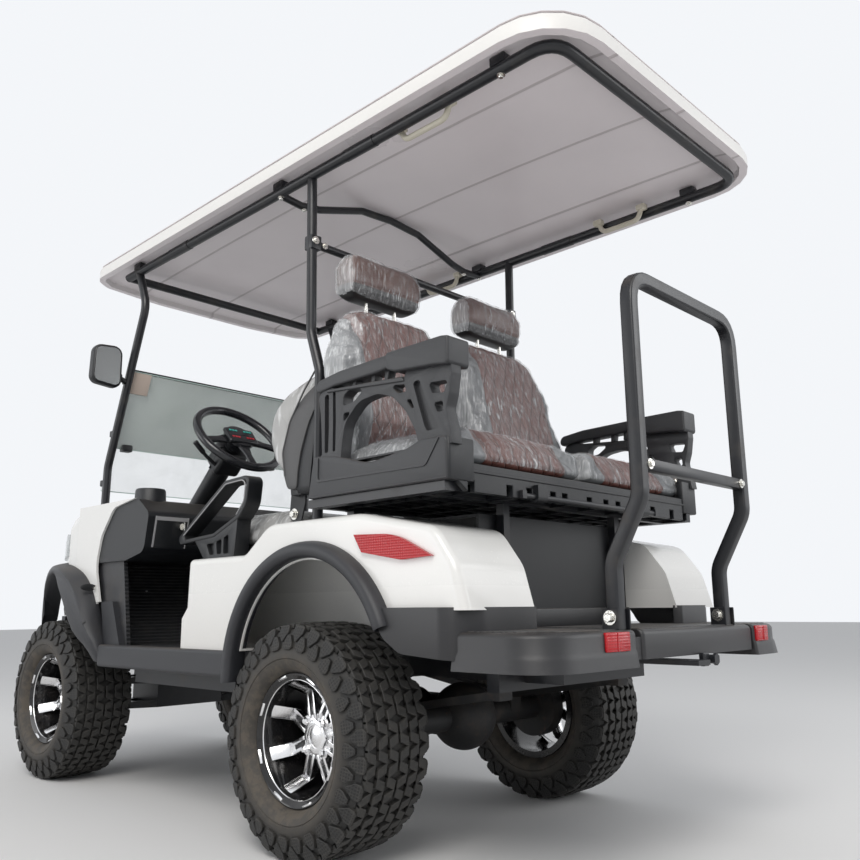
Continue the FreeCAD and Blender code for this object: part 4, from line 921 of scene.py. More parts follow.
def rear_seats():
    face = [(40, 1000, 30), (14, 1180, 300), (14, 1400, 150), (80, 1512, 110), (420, 1508, 120), (510, 1330, 220),
            (512, 1150, 300), (462, 1000, 30)]
    profile = [(-74, 1012, 20), (-108, 1130, 60), (-62, 1330, 400), (-14, 1512, 30), (40, 1512, 24), (22, 1300, 400),
               (-22, 1100, 300), (-28, 1004, 12)]
    right = carved("rear_back_right", face, profile, (-140, 80), (0, 540))
    stuffed(right, 0.0105, 0.022, lambda p: p.y - SHIFT > -0.02 + (p.z - 1.1) * 0.12)
    seamed(right, panel_seams)
    left = mirrored(right, "rear_back_left")
    heads = []
    head = carved("rear_headrest_right", [(116, 1536, 40), (108, 1650, 60), (140, 1694, 50), (384, 1694, 50),
                                          (416, 1650, 60), (408, 1536, 40)],
                  [(4, 1536, 26), (-10, 1610, 60), (8, 1694, 34), (72, 1692, 34), (90, 1610, 60), (80, 1536, 26)],
                  (-40, 120), (60, 460))
    stuffed(head, 0.009, 0.012, lambda p: p.z < 1.548)
    seamed(head, lambda p, n: 0.004 * dip(p.z - 1.582, 0.005) * (n.y < 0.3))
    for s, back in ((1, right), (-1, left)):
        word = "right" if s > 0 else "left"
        heads.append(head if s > 0 else mirrored(head, "rear_headrest_left"))
        finish(back, "cart", "brown_leather", smooth=60)
        finish(heads[-1], "cart", "brown_leather", HEAD_HIDE, smooth=60)
        film_over(back, "film_rear_back_" + word, lambda f: f.normal.y > 0.45 or f.normal.z < -0.5, "cart")
        film_over(heads[-1], "film_headrest_" + word, lambda f: f.normal.z < -0.6, "cart", 0.005, 0.004)
        stems = join(*(rod("headrest_stems_" + word, at(s * x, 34, 1490), at(s * x, 34, 1580), 0.0065)
                       for x in (202, 322)))
        finish(stems, "cart", "black_frame", BOLTS)
    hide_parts("rear_seat_backs")
    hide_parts("rear_headrests")
    seat = block("rear_cushion_right", at(14, -534, 953), at(532, -98, 1036))
    bevelled(seat, 0.02, 3)
    stuffed(seat, 0.0115, 0.024, lambda p: p.z < 0.972)
    seamed(seat, lambda p, n: panel_seams(p, n) + 0.004 * dip(p.z - 0.996, 0.005) * (abs(n.z) < 0.6))
    for s, pad in ((1, seat), (-1, mirrored(seat, "rear_cushion_left"))):
        word = "right" if s > 0 else "left"
        finish(pad, "rear_seat_lid", "brown_leather", smooth=60)
        film_over(pad, "film_rear_cushion_" + word, lambda f: f.normal.z < -0.5, "rear_seat_lid", 0.003, 0.003)
    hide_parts("rear_seat_cushion")


def front_seats():
    face = [(24, 1006, 30), (20, 1300, 120), (70, 1366, 110), (380, 1362, 130), (456, 1240, 160), (452, 1006, 30)]
    profile = [(92, 1328, 12), (140, 1364, 24), (215, 1330, 60), (292, 1279, 60), (343, 1198, 60), (347, 1133, 60),
               (318, 1062, 60), (250, 1008, 20), (238, 1010, 8), (258, 1084, 200), (222, 1180, 300), (154, 1268, 300)]
    right = carved("front_back_right", face, profile, (40, 370), (0, 480))
    stuffed(right, 0.0095, 0.014, lambda p: (p.y - SHIFT) < 0.26 - (p.z - 1.05) * 0.45)
    seamed(right, lambda p, n: 0.004 * dip(abs(abs(p.x) - 0.236) - 0.15, 0.006) * (n.y > 0.2))
    for s, back in ((1, right), (-1, mirrored(right, "front_back_left"))):
        finish(back, "cart", "grey_leather", smooth=60)
    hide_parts("front_seat_backs")
    shell_face = [(20, 950, 20), (18, 1300, 110), (70, 1362, 100), (384, 1358, 110), (458, 1230, 150), (458, 950, 30)]
    shell = carved("front_shell_right", shell_face, [
        (66, 1322, 12), (94, 1332, 10), (156, 1268, 300), (226, 1180, 300), (262, 1084, 200), (246, 1008, 30),
        (228, 968, 20), (186, 968, 14), (182, 1021, 30), (170, 1077, 120), (137, 1157, 200), (91, 1220, 200),
        (58, 1290, 60)], (40, 280), (0, 480))
    bevelled(shell, 0.004, 2)
    # a black block filling the hollow under the shell's curved back: painted shade, not a part
    shadow = carved("cover", [(x * 0.985 + 3, z - 6, *r) for x, z, *r in shell_face], [
        (62, 1300), (92, 1226), (138, 1163), (172, 1083), (186, 1021), (190, 952), (130, 952), (112, 1100),
        (58, 1240)], (40, 280), (0, 480))
    bevelled(shadow, 0.008, 2)
    piping = [tube("piping", [at(458, y, z) for y, z in ((98, 1322), (158, 1262), (226, 1174), (258, 1084),
                                                         (244, 1012))], 0.0028, 0.05)]
    arms, heads = [], []
    for x in (60, 420):
        arms.append(bevelled(side("bracket", [(186, 1000, 6), (252, 1010, 6), (262, 905, 10), (244, 872, 6),
                                              (206, 872, 6), (186, 930, 20)], x - 3, x + 3), 0.001, 1))
        arms.append(bevelled(side("bracket_flange", [(180, 1004, 6), (236, 1012, 6), (228, 950, 6), (176, 950, 6)],
                                  x + 3, x + 26), 0.003, 2))
        heads.append(bolt("bolt", at(x + 4, 236, 898), (1, 0, 0), 0.011, 0.012))
    for s in (1, -1):
        word = "right" if s > 0 else "left"
        hard = join(*(again(p, "shell", turn=Matrix.Scale(s, 4, (1, 0, 0))) for p in (shell, *piping)))
        hard.name = "front_shell_" + word
        finish(outward(hard), "cart", "grey_trim", SHELL_PLASTIC, smooth=40)
        # the painted shade block joined with the seat brackets, in black
        dark = join(*(again(p, "cover", turn=Matrix.Scale(s, 4, (1, 0, 0))) for p in (shadow, *arms)))
        dark.name = "front_cover_" + word
        finish(outward(dark), "cart", "black_trim")
        bits = join(*(again(p, "bolts", turn=Matrix.Scale(s, 4, (1, 0, 0))) for p in heads))
        finish(outward(bits), "cart", "black_frame", BOLTS)
        if s > 0:
            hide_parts("front_seat_shells")
    for piece in (shell, shadow, *piping, *arms, *heads):
        bpy.data.objects.remove(piece)
    seat = block("front_cushion_right", at(10, 250, 816), at(438, 662, 902))
    bevelled(seat, 0.024, 3)
    stuffed(seat, 0.0115, 0.024, lambda p: p.z < 0.83)
    seamed(seat, lambda p, n: 0.004 * dip(abs(abs(p.x) - 0.224) - 0.15, 0.006) + 0.004 * dip(p.z - 0.868, 0.005) *
           (abs(n.z) < 0.6))
    for s, pad in ((1, seat), (-1, mirrored(seat, "front_cushion_left"))):
        finish(pad, "front_seat_lid", "grey_leather", smooth=60)
    board = bevelled(block("front_seat_board", at(-430, 255, 797), at(430, 645, 814)), 0.003, 2)
    lugs = [bevelled(block("lug", at(x - 20, 534, 782), at(x + 20, 558, 800)), 0.003, 2) for x in (-200, 200)]
    board = join(board, *lugs)
    finish(board, "front_seat_lid", "black_trim", replaces=("front_seat_cushion",))


def head_hide():
    """Brown above, black along the lower roll, with stretched pebbled grain."""
    made = Finish("headrest_hide", Roughness=0.4)
    fade = made.noise(9.0, 4.0).step(0.3, 0.8)
    brown = made.mix(fade * 0.5, (0.115, 0.046, 0.034), (0.18, 0.085, 0.062))
    made.color(made.mix(made.axis("Z").step(1.580, 1.584), (0.012, 0.012, 0.013), brown))
    made.rough(fade * 0.15 + 0.34)
    made.bump(made.cells(620.0) * 0.25 + made.noise(30.0, 4.0), 0.001, 0.6)
    return made.material


HEAD_HIDE = head_hide()
SHELL_PLASTIC = grained("shell_plastic", (0.075, 0.075, 0.077), (0.16, 0.16, 0.16), 0.5)
rear_seats()
front_seats()


# Roof, its frame and pillars, and the grab bar
def roof():
    outline = [(-562, -887, 180), (562, -887, 180), (562, 1420, 130), (490, 1476, 60), (240, 1513, 500),
               (-240, 1513, 500), (-490, 1476, 60), (-562, 1420, 130)]
    panel = flat("roof_shell", outline, lambda x, y: at(x, y, 1945))
    up = Vector((0, 0, 1))
    crest = {"z": 1.945}

    def top(face):
        return face.normal.z > 0.5 and face.center.z > crest["z"] - 0.002

    pull(panel, up * 0.036)
    for inset, rise in ((0.003, 0.006), (0.007, 0.004), (0.030, 0.008), (0.050, 0.010)):
        crest["z"] = max(v.co.z for v in panel.data.vertices)
        edit(panel, ("inset", {"thickness": inset, "depth": rise}), faces=top)
    def bottom(face):
        return face.normal.z < -0.5 and abs(face.center.z - crest["z"]) < 0.001 and face.area > 0.2

    for inset, rise in ((0.024, 0.0), (0.004, 0.020), (0.060, 0.010)):
        crest["z"] = next(f.center.z for f in panel.data.polygons if f.normal.z < -0.9 and f.area > 0.2)
        edit(panel, ("inset", {"thickness": inset, "depth": -rise}), faces=bottom)
    for x in range(-432, 433, 96):
        edit(panel, ("bisect", {"plane_co": at(x, 0, 0), "plane_no": (1, 0, 0)}))
    for y in range(-780, 1450, 120):
        edit(panel, ("bisect", {"plane_co": at(0, y, 0), "plane_no": (0, 1, 0)}))

    def dome(point, normal):
        swell = max(0.0, 1 - (point.x / 0.47) ** 2) * max(0.0, 1 - ((point.y - SHIFT - 0.313) / 1.11) ** 2)
        return up * swell * (0.025 * (normal.z > 0.5) + 0.040 * (normal.z < -0.5))

    displaced(panel, dome)
    outward(panel)
    finish(panel, "cart", "roof_white", replaces=("roof_panel",), smooth=40)


def roof_frame():
    r = 0.0165
    rails = tube("roof_rails", [at(-487, 1290, 1936), at(-487, -817, 1936), at(487, -817, 1936), at(487, 1290, 1936)],
                 r, 0.075)
    front = tube("front_tube", [at(-487, 1285, 1936), at(487, 1285, 1936)], r)
    bow = tube("roof_bow", [at(-487, 262, 1926), at(-402, 268, 1922), at(-330, 262, 1930), at(-140, 262, 1992),
                            at(0, 262, 2001), at(140, 262, 1992), at(330, 262, 1930), at(402, 268, 1922),
                            at(487, 262, 1926)], 0.0125, 0.05)
    plates, bolts = [], []
    for s in (-1, 1):
        for y in (-654, 262, 1195):
            plates.append(bevelled(block("plate", at(s * 487 - 17, y - 24, 1944), at(s * 487 + 17, y + 24, 1968)),
                                   0.003, 2))
            bolts.append(bolt("bolt", at(s * 487, y, 1919), (0, 0, -1), 0.007, 0.008))
        for y in (-190, 822):
            plates.append(tube("sleeve", [at(s * 487, y, 1936), at(s * 487, y + 130, 1936)], r + 0.0016))
    for x in (-395, 395):
        bolts.append(bolt("bolt", at(x, 262, 1908), (0, 0, -1), 0.006, 0.006))
    finish(join(rails, front, bow, *plates), "cart", "black_frame", replaces=("roof_frame",))
    finish(join(*bolts), "cart", "black_frame", BOLTS)


def pillars():
    r = 0.0155
    made, bolts = [], []
    for s in (-1, 1):
        made.append(tube("pillars", [at(s * 484, 105, 1936), at(s * 476, 105, 1425), at(s * 476, 60, 1300),
                                     at(s * 476, 60, 850)], r, 0.09))
        made.append(tube("front_pillar", [at(s * 487, 1200, 1936), at(s * 487, 1130, 1780), at(s * 487, 1365, 1170),
                                          at(s * 487, 1368, 994)], r, 0.10))
        made.append(bevelled(block("foot", at(s * 487 - 30, 1340, 990), at(s * 487 + 30, 1396, 1003)), 0.003, 2))
        made.append(bevelled(block("clamp", at(s * 476 - 19, 86, 1690), at(s * 476 + 19, 124, 1736)), 0.004, 2))
        bolts.append(bolt("bolt", at(s * 476 - 6, 84, 1716), (0, -1, 0), 0.008, 0.008))
        bolts.append(bolt("bolt", at(s * 440, 92, 1713), (0, -1, 0), 0.007, 0.007))
        bolts.append(bolt("bolt", at(s * 487, 1186, 1880), (-1, -0.4, 0), 0.007, 0.008))
    made.append(tube("cross_bar", [at(-476, 105, 1713), at(476, 105, 1713)], 0.0125))
    edge = tube("pane_edge", [at(-487, 1252, 1545), at(487, 1252, 1545)], 0.006)
    finish(join(*made, edge), "cart", "black_frame", replaces=("roof_pillars",))
    finish(join(*bolts), "cart", "black_frame", BOLTS)


def handles():
    # x, rear end, front end of each cream pull under the roof rails
    for number, (x, rear, front) in enumerate(((-458, -454, -265), (458, -496, -324), (458, 349, 525)), 1):
        bar = tube("pull_%d" % number, [at(x, rear, 1950), at(x, rear + 16, 1908), at(x, front - 16, 1908),
                                        at(x, front, 1950)], 0.0085, 0.03)
        ends = [bevelled(block("end", at(x - 13, y - 17, 1938), at(x + 13, y + 17, 1958)), 0.005, 2)
                for y in (rear, front)]
        finish(join(bar, *ends), "cart", "roof_white", CREAM)


def grab_bar():
    w = 0.0165
    section = [(-w, -w, 0.005), (w, -w, 0.005), (w, w, 0.005), (-w, w, 0.005)]
    hoop = tube("rear_hoop", [at(-265, -765, 566), at(-265, -765, 716), at(-265, -845, 862), at(-265, -845, 1400),
                              at(265, -845, 1400), at(265, -845, 862), at(265, -765, 716), at(265, -765, 566)],
                w, 0.075, section=section)
    bar = bevelled(block("bar", at(-250, -859, 924), at(250, -831, 952)), 0.004, 2)
    plates, bolts = [], []
    for s in (-1, 1):
        for x in (s * 265 - 26, s * 265 + 22):
            plates.append(bevelled(block("foot", at(x, -787, 565), at(x + 4, -743, 612)), 0.0015, 1))
        bolts.append(bolt("bolt", at(s * 265 - 27, -765, 592), (-1, 0, 0), 0.0105, 0.012))
        bolts.append(bolt("bolt", at(s * 265 + 27, -765, 592), (1, 0, 0), 0.0105, 0.010))
        bolts.append(bolt("bolt", at(s * 238, -860, 938), (0, -1, 0), 0.008, 0.008))
    finish(join(hoop, bar, *plates), "cart", "black_frame", replaces=("grab_bar",))
    finish(join(*bolts), "cart", "black_frame", BOLTS)


roof()
roof_frame()
pillars()
handles()
grab_bar()


# Armrests, rear tray, bumper and footplate
def opened(piece, holes, maker, low, high):
    for corners in holes:
        cut(piece, maker("hole", corners, low, high))
    return piece


def armrests():
    plate = side("armrest", [(-66, 1008, 6), (-90, 1015, 8), (-87, 1075, 80), (-82, 1131, 60), (-70, 1188, 20),
                             (-130, 1193, 20), (-150, 1182), (-400, 1163), (-420, 1200), (-558, 1190), (-560, 1152, 14), (-552, 1103, 60),
                             (-541, 1070, 30), (-556, 1014, 10), (-560, 985), (-60, 985)], -584, -550)
    windows = [
        [(-166, 990), (-172, 1040, 60), (-183, 1092, 60), (-237, 1138, 70), (-306, 1146, 90), (-362, 1128, 60),
         (-410, 1082, 90), (-442, 1028, 60), (-452, 990)],
        [(-174, 1136, 6), (-176, 1164, 14), (-196, 1175, 8), (-262, 1170, 8), (-218, 1141, 30)],
        [(-176, 1092, 4), (-177, 1117, 6), (-205, 1116, 4), (-192, 1102, 20)],
        [(-352, 1158, 6), (-404, 1151, 5), (-412, 1131, 5), (-382, 1132, 20)],
        [(-409, 1112, 4), (-426, 1110, 4), (-438, 1086, 4), (-428, 1088, 4)],
        [(-486, 1139, 6), (-549, 1135, 8), (-536, 1107, 8), (-497, 1111, 6)],
        [(-502, 1088, 5), (-531, 1088, 6), (-533, 1062, 6), (-513, 1064, 5)],
    ]
    opened(plate, windows, side, -600, -530)
    bevelled(plate, 0.0022, 2)
    # shallow troughs down the front leg and down the strut, and the step round the arch
    troughs = [
        [(-101, 1020, 6), (-100, 1100, 60), (-98, 1178, 20), (-116, 1180, 10), (-118, 1100, 60), (-116, 1020, 6)],
        [(-134, 1020, 4), (-134, 1100, 60), (-132, 1184, 10), (-143, 1185, 6), (-146, 1100, 60), (-145, 1020, 4)],
        [(-455, 1152, 8), (-432, 1152, 8), (-470, 1040, 60), (-478, 1024, 6), (-522, 1024, 6), (-492, 1070, 80)],
    ]
    opened(plate, troughs, side, -600, -573)
    rail = side("rail", [(-62, 1186, 16), (-66, 1222, 22), (-160, 1234, 60), (-380, 1240), (-380, 1196), (-352, 1204),
                         (-300, 1199), (-140, 1196, 30)], -588, -536)
    bevelled(rail, 0.006, 3)
    pod = side("pod", [(-352, 1196), (-352, 1239, 6), (-540, 1241, 60), (-563, 1237, 8), (-563, 1167, 10),
                       (-520, 1174, 60), (-384, 1184, 20)], -600, -522)
    bevelled(pod, 0.007, 3)
    bar = bevelled(side("bar", [(-110, 1183), (-110, 1191), (-400, 1171), (-404, 1158)], -588, -552), 0.002, 1)
    posts = [bevelled(side("post", [(y, 1176), (y - 14, 1176), (y - 20, 1204), (y - 2, 1204)], -574, -548), 0.003, 2)
             for y in (-196, -270, -320)]
    base = side("armrest_base", [(-40, 903), (-548, 903), (-546, 1004, 14), (-460, 1006, 8), (-414, 990, 120),
                                 (-281, 972, 160), (-150, 1006, 60), (-78, 1014, 10), (-60, 1012, 8)], -590, -546)
    bevelled(base, 0.005, 3)
    lip = side("lip", [(-76, 944, 8), (-79, 1010), (-84, 1008), (-84, 950, 6), (-474, 946, 20), (-518, 1000),
                       (-524, 1001), (-480, 940, 20)], -592.5, -586)
    foot_rail = tube("base_edge", [at(-590, -42, 905), at(-590, -546, 907)], 0.0022)
    head = bolt("bolt", at(-548, -500, 1016), (1, 0, 0.3), 0.008, 0.008)
    half = join(plate, rail, pod, bar, base, lip, foot_rail, *posts)
    for s, made, word in ((-1, half, "left"), (1, mirrored(half, "armrest"), "right")):
        made.name = "armrest_" + word
        finish(made, "cart", "grey_trim", ARM_PLASTIC, smooth=38)
    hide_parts("rear_armrests")
    finish(join(head, mirrored(head, "bolt")), "cart", "grey_trim", BOLTS)


def tray():
    """The moulded tray under the rear seat: its rear edge is notched below, and ribs run forward under it."""
    teeth, x = [(-556, 905)], -520
    for wide in (120, 56, 78, 30, 92, 60, 40, 118, 30, 92, 60, 84):
        teeth += [(x, 880), (x, 908), (x + 24, 908), (x + 24, 880)]
        x += wide + 22
        if x > 500:
            break
    rear = across("rear_tray", teeth + [(556, 905), (556, 948), (-556, 948)], -548, -532)
    bevelled(rear, 0.0015, 1)
    line = bevelled(block("line", at(-545, -551, 926), at(545, -546, 931)), 0.001, 1)
    ends = []
    for s in (-1, 1):
        corner = plan("corner", [(s * 588, -536), (s * 588, -552, 14), (s * 500, -552), (s * 500, -532), (s * 546, -532),
                                 (s * 560, -536)], 903, 1004)
        ends.append(bevelled(outward(corner), 0.004, 2))
    ribs = [block("rib", at(-540, y, 886), at(540, y + 5, 906)) for y in range(-510, -70, 55)]
    ribs += [block("rib", at(x, -532, 884), at(x + 5, -60, 906)) for x in (-470, -345, -210, -75, 60, 200, 335, 465)]
    deck = block("deck", at(-545, -532, 903), at(545, -62, 908))
    finish(join(rear, line, *ends, *ribs, deck), "cart", "black_trim", smooth=30)


def footplate():
    def module(name, corners, low, flared):
        piece = plan(name, corners, low, 565)
        for z in (low + 8, 508, 516, 524, 553, 558, 562):
            edit(piece, ("bisect", {"plane_co": at(0, 0, z), "plane_no": (0, 0, 1)}))
        middle_x = sum(c[0] for c in corners) / len(corners) / 1000
        middle_y = sum(c[1] for c in corners) / len(corners) / 1000 + SHIFT

        def swell(point, normal):
            z = point.z * 1000
            out = 0.0 if not flared else 0.003 + 0.005 * (516 - z) / 33 if z <= 516.5 else 0.0
            out -= 0.0015 if 557 < z < 560 else 0.0045 if 560 < z < 563.5 else 0.010 if z > 563.5 else 0
            way = Vector((point.x - middle_x, point.y - middle_y, 0))
            reach_x, reach_y = abs(way.x), abs(way.y)
            outer = reach_x > 0.02 and way.x * middle_x > 0
            flat_way = Vector((math.copysign(outer, way.x), math.copysign(reach_y > 0.02 and way.y < 0, way.y), 0))
            return flat_way * out

        displaced(piece, swell)
        return outward(piece)

    left = module("footplate", [(-580, -548), (-580, -800, 110), (-236, -800, 14), (-236, -520), (-500, -520)], 483, True)
    centre = module("centre", [(-206, -452), (-206, -797, 10), (367, -797, 8), (367, -452)], 498, False)
    right = module("right", [(379, -520), (379, -799, 8), (580, -799, 120), (580, -548), (500, -520)], 483, True)
    inner = block("inner", at(-330, -470, 498), at(385, -790, 548))
    ledge = bevelled(block("ledge", at(-338, -440, 560), at(338, -424, 614)), 0.005, 2)
    shell = join(left, centre, right, outward(inner), ledge)
    finish(shell, "cart", "black_trim", PLATE_PLASTIC, replaces=("footplate",), smooth=36)
    tops = [plan("tread_%d" % i, corners, 564, 567) for i, corners in enumerate((
        [(-560, -560), (-560, -780, 96), (-250, -780, 8), (-250, -534), (-510, -534)],
        [(-194, -466), (-194, -784, 6), (356, -784, 6), (356, -466)],
        [(392, -534), (392, -780, 6), (560, -780, 106), (560, -560), (510, -534)]))]
    treads = bevelled(join(*(outward(piece) for piece in tops)), 0.0012, 1)
    finish(treads, "cart", "black_trim", TREAD)
    lamps = []
    for x0, x1 in ((-372, -276), (384, 456)):
        lamps.append(bevelled(block("rear_reflectors", at(x0, -806, 520), at(x1, -796, 562)), 0.003, 2))
        lamps.append(bevelled(block("rim", at(x0 + 42, -807.5, 522), at(x0 + 45, -805, 560)), 0.0005, 1))
    finish(join(*lamps), "cart", "red_lens")
    stub = join(rod("tow_eye", at(88, -822, 486), at(88, -790, 486), 0.011, 18),
                rod("nut", at(88, -828, 486), at(88, -820, 486), 0.015, 6),
                bevelled(block("tow_lug", at(45, -815, 470), at(75, -800, 502)), 0.003, 1))
    finish(stub, "cart", "black_frame")


def bumper():
    body = plan("rear_bumper", [(-602, -296), (-602, -526, 40), (-588, -558, 40), (-520, -592, 60), (-346, -604, 10),
                                (-338, -580), (-510, -556, 60), (-560, -500, 60), (-560, -296)], 500, 619)
    profile = side("profile", [(-296, 620), (-304, 604), (-348, 548, 60), (-402, 516, 60), (-566, 504, 20),
                               (-660, 540, 20), (-660, 618)], -620, -300)
    bevelled(cut(body, profile, "INTERSECT"), 0.005, 3)
    screws = [rod("screw", at(-601, y, z), at(-604, y, z), 0.0042, 16) for y, z in ((-322, 598), (-330, 582))]
    both = join(body, mirrored(body, "bumper"))
    finish(both, "cart", "black_trim", PLATE_PLASTIC, replaces=("rear_bumper",), smooth=40)
    finish(join(*screws, *(mirrored(piece, "screw") for piece in screws)), "cart", "black_trim", BOLTS)


def strut_feet():
    plates, bolts = [], []
    for s in (-1, 1):
        for x in (s * 263 - 20, s * 263 + 16):
            plates.append(bevelled(block("strut_feet", at(x, -460, 566), at(x + 4, -420, 610)), 0.0015, 1))
        bolts.append(bolt("bolt", at(s * 263 - 21, -440, 590), (-1, 0, 0), 0.0072, 0.009))
        bolts.append(bolt("bolt", at(s * 263 + 21, -440, 590), (1, 0, 0), 0.0072, 0.009))
    finish(join(*plates), "cart", "black_frame")
    finish(join(*bolts), "cart", "black_frame", BOLTS)


ARM_PLASTIC = grained("arm_plastic", (0.028, 0.029, 0.032), (0.11, 0.11, 0.115), 0.42)
PLATE_PLASTIC = grained("plate_plastic", (0.020, 0.020, 0.022), (0.07, 0.068, 0.066), 0.36)
armrests()
tray()
footplate()
bumper()
strut_feet()


# Windshield, steering, dashboard, seat loops and front flares
def pane_y(z, ahead):
    return 1365 - 0.38525 * (z - 1170) + ahead


def windshield():
    def pane(name, low, high, ahead, half=488):
        piece = side(name, [(pane_y(low, ahead), low), (pane_y(low, ahead) + 5, low), (pane_y(high, ahead) + 5, high),
                            (pane_y(high, ahead), high)], -half, half)
        return bevelled(piece, 0.0012, 2)

    finish(pane("lower_pane", 1083, 1540, 13.4), "cart", "clear_glass", replaces=("windshield",))
    finish(pane("folded_pane", 1251, 1540, 30.4), "cart", "clear_glass", MILKY)
    patch = pane("tape_patch", 1456, 1536, 11.0, 44)
    again_patch = again(patch, "tape_patch", at(-436, 0, 0) - at(0, 0, 0))
    bpy.data.objects.remove(patch)
    finish(again_patch, "cart", "clear_glass", TAPE)
    clips = [bevelled(block("pane_clips", at(x - 20, pane_y(1251, 8), 1238), at(x + 20, pane_y(1251, 42), 1266)),
                      0.004, 2) for x in (-420, 270)]
    clips += [bevelled(block("clip", at(s * 487 - 8, pane_y(z, -12), z - 12), at(s * 487 + 8, pane_y(z, out), z + 12)),
                       0.003, 2) for s in (-1, 1) for z, out in ((1110, 22), (1300, 40), (1500, 40))]
    finish(join(*clips), "cart", "black_trim")
    edges = [side("pane_rims", [(pane_y(z, a), z), (pane_y(z, a) + 5, z), (pane_y(z, a) + 5, z - 3),
                                (pane_y(z, a), z - 3)], -486, 486) for z, a in ((1084, 12.9), (1252, 31), (1540, 12.9))]
    finish(join(*(outward(e) for e in edges)), "cart", "clear_glass", EDGE_GLASS)


def steering():
    tilt = math.radians(42)
    centre = at(-262, 800, 1235)
    along = Vector((0, -math.cos(tilt), math.sin(tilt)))
    # the wheel is made about the X axis and turned so that its face looks along the column
    turn = Matrix.Translation(centre) @ along.to_track_quat("X", "Z").to_matrix().to_4x4()
    ring = start("torus", "steering_wheel", major_segments=72, minor_segments=16, major_radius=0.162,
                 minor_radius=0.0155, rotation=(0, math.pi / 2, 0))
    settle(ring)
    hub = spun("hub", [(-0.044, 0.011), (-0.044, 0.032), (-0.012, 0.040), (0.000, 0.060), (0.012, 0.056),
                       (0.016, 0.040), (0.016, 0.002), (-0.02, 0.002), (-0.02, 0.011)], 48)
    spokes = []
    for degrees in (-14, 194, 270):
        spoke = flat("spoke", [(-0.024, 0.04), (0.024, 0.04), (0.013, 0.10), (0.015, 0.160), (-0.015, 0.160),
                               (-0.013, 0.10)], lambda a, b: Vector((-0.006, a, b)))
        pull(spoke, (0.013, 0, 0))
        bevelled(spoke, 0.004, 2)
        spokes.append(again(spoke, "spoke", turn=Matrix.Rotation(math.radians(degrees - 90), 4, "X")))
        bpy.data.objects.remove(spoke)
    pad = block("pad", (0.002, -0.062, -0.046), (0.022, 0.062, 0.034))
    bevelled(pad, 0.011, 4)
    wheel = again(join(ring, hub, pad, *spokes), "steering_wheel_rim", turn=turn)
    bpy.data.objects.remove(ring)
    finish(outward(wheel), "steering", "black_trim", GLOSS, replaces=("steering_wheel",), smooth=45)
    dots = []
    for row, z in enumerate((-0.022, 0.014)):
        for y in (-0.042, -0.030, -0.018, 0.018, 0.030, 0.042):
            dots.append((row, again(block("key", (0.0215, y - 0.0045, z - 0.004), (0.0235, y + 0.0045, z + 0.004)),
                                    "key", turn=turn)))
    for row, paint, name in ((0, RED_KEYS, "lower_keys"), (1, TEAL_KEYS, "upper_keys")):
        keys = join(*(key for number, key in dots if number == row))
        keys.name = name
        finish(keys, "steering", "black_trim", paint)
    screen = again(bevelled(block("screen", (0.021, -0.028, -0.010), (0.0232, 0.028, 0.004)), 0.0008, 1),
                   "wheel_screen", turn=turn)
    finish(screen, "steering", "black_trim", GLOSS)
    for piece in [o for o in bpy.data.objects if o.name.startswith(("key", "screen"))]:
        bpy.data.objects.remove(piece)
    # the column's shroud: two halves with a seam, and the stalk on its left
    shroud = block("column_shroud", (-0.150, -0.052, -0.048), (-0.050, 0.052, 0.044))
    bevelled(shroud, 0.016, 4)
    seam = bevelled(block("seam", (-0.152, -0.053, -0.003), (-0.048, 0.053, -0.001)), 0.0008, 1)
    neck = rod("neck", (-0.40, 0, 0), (-0.12, 0, 0), 0.037, 32)
    collar = rod("collar", (-0.062, 0, 0), (-0.045, 0, 0), 0.030, 32)
    tunnel = join(shroud, seam, neck, collar)
    column = again(tunnel, "column_cover", turn=turn)
    bpy.data.objects.remove(tunnel)
    finish(outward(column), "cart", "black_trim")
    lever = tube("stalk", [at(-312, 870, 1140), at(-352, 868, 1166), at(-402, 862, 1208)], 0.0065, 0.03)
    grip = bevelled(tube("grip", [at(-366, 866, 1178), at(-405, 861, 1212)], 0.0095), 0.002, 2)
    finish(join(lever, grip), "cart", "black_trim")


def dashboard_details():
    dark = []
    pod = spun("cup_pod", [(0.968, 0.028), (0.968, 0.056), (1.036, 0.0525), (1.042, 0.049), (1.042, 0.044),
                           (0.985, 0.042), (0.985, 0.0)], 48)
    upright = Matrix.Translation(at(-500, 985, 0)) @ Matrix.Rotation(math.radians(-90), 4, "Y")
    dark.append(again(pod, "cup_holder", turn=upright))
    dark.append(again(pod, "cup", turn=Matrix.Scale(-1, 4, (1, 0, 0)) @ upright))
    bpy.data.objects.remove(pod)
    # black plates on the slanted face where the glove recesses open: painted shade inside them
    for x0, x1 in ((-545, -412), (412, 545)):
        dark.append(bevelled(side("glove_panel", [(856, 936, 4), (863, 938), (885, 828), (878, 826, 4)], x0, x1),
                             0.003, 2))
    finish(join(*(outward(d) for d in dark)), "cart", "black_trim")
    # pale strips round the recesses: painted highlights on their lips
    rims = [bevelled(side("panel_rims", [(854.5, 934), (857, 935), (878, 830), (875.5, 829)], a, b), 0.0006, 1)
            for a, b in ((-543, -537), (-420, -416), (416, 420), (537, 543))]
    rims += [bevelled(side("panel_rim", [(859, 921), (857, 934), (855, 934), (857, 921)], -537, -420), 0.0005, 1)]
    finish(join(*rims), "cart", "grey_trim", PALE_EDGE)
    barrel = rod("key_barrel", at(-442, 866, 905), at(-442, 852, 903), 0.012, 24)
    key = bevelled(block("key_blade", at(-445, 836, 888), at(-439, 856, 918)), 0.001, 1)
    tag = bevelled(block("key_tag", at(-443, 838, 856), at(-441, 850, 890)), 0.001, 1)
    finish(join(barrel, key, tag), "cart", "black_frame", BOLTS)
    studs = [rod("mat_studs", at(x, y, z), at(x, y - 4, z + 2), 0.005, 14)
             for x in (-430, -350, 350, 430) for y, z in ((1262, 690), (1235, 618))]
    finish(join(*studs), "cart", "black_trim", PALE_EDGE)


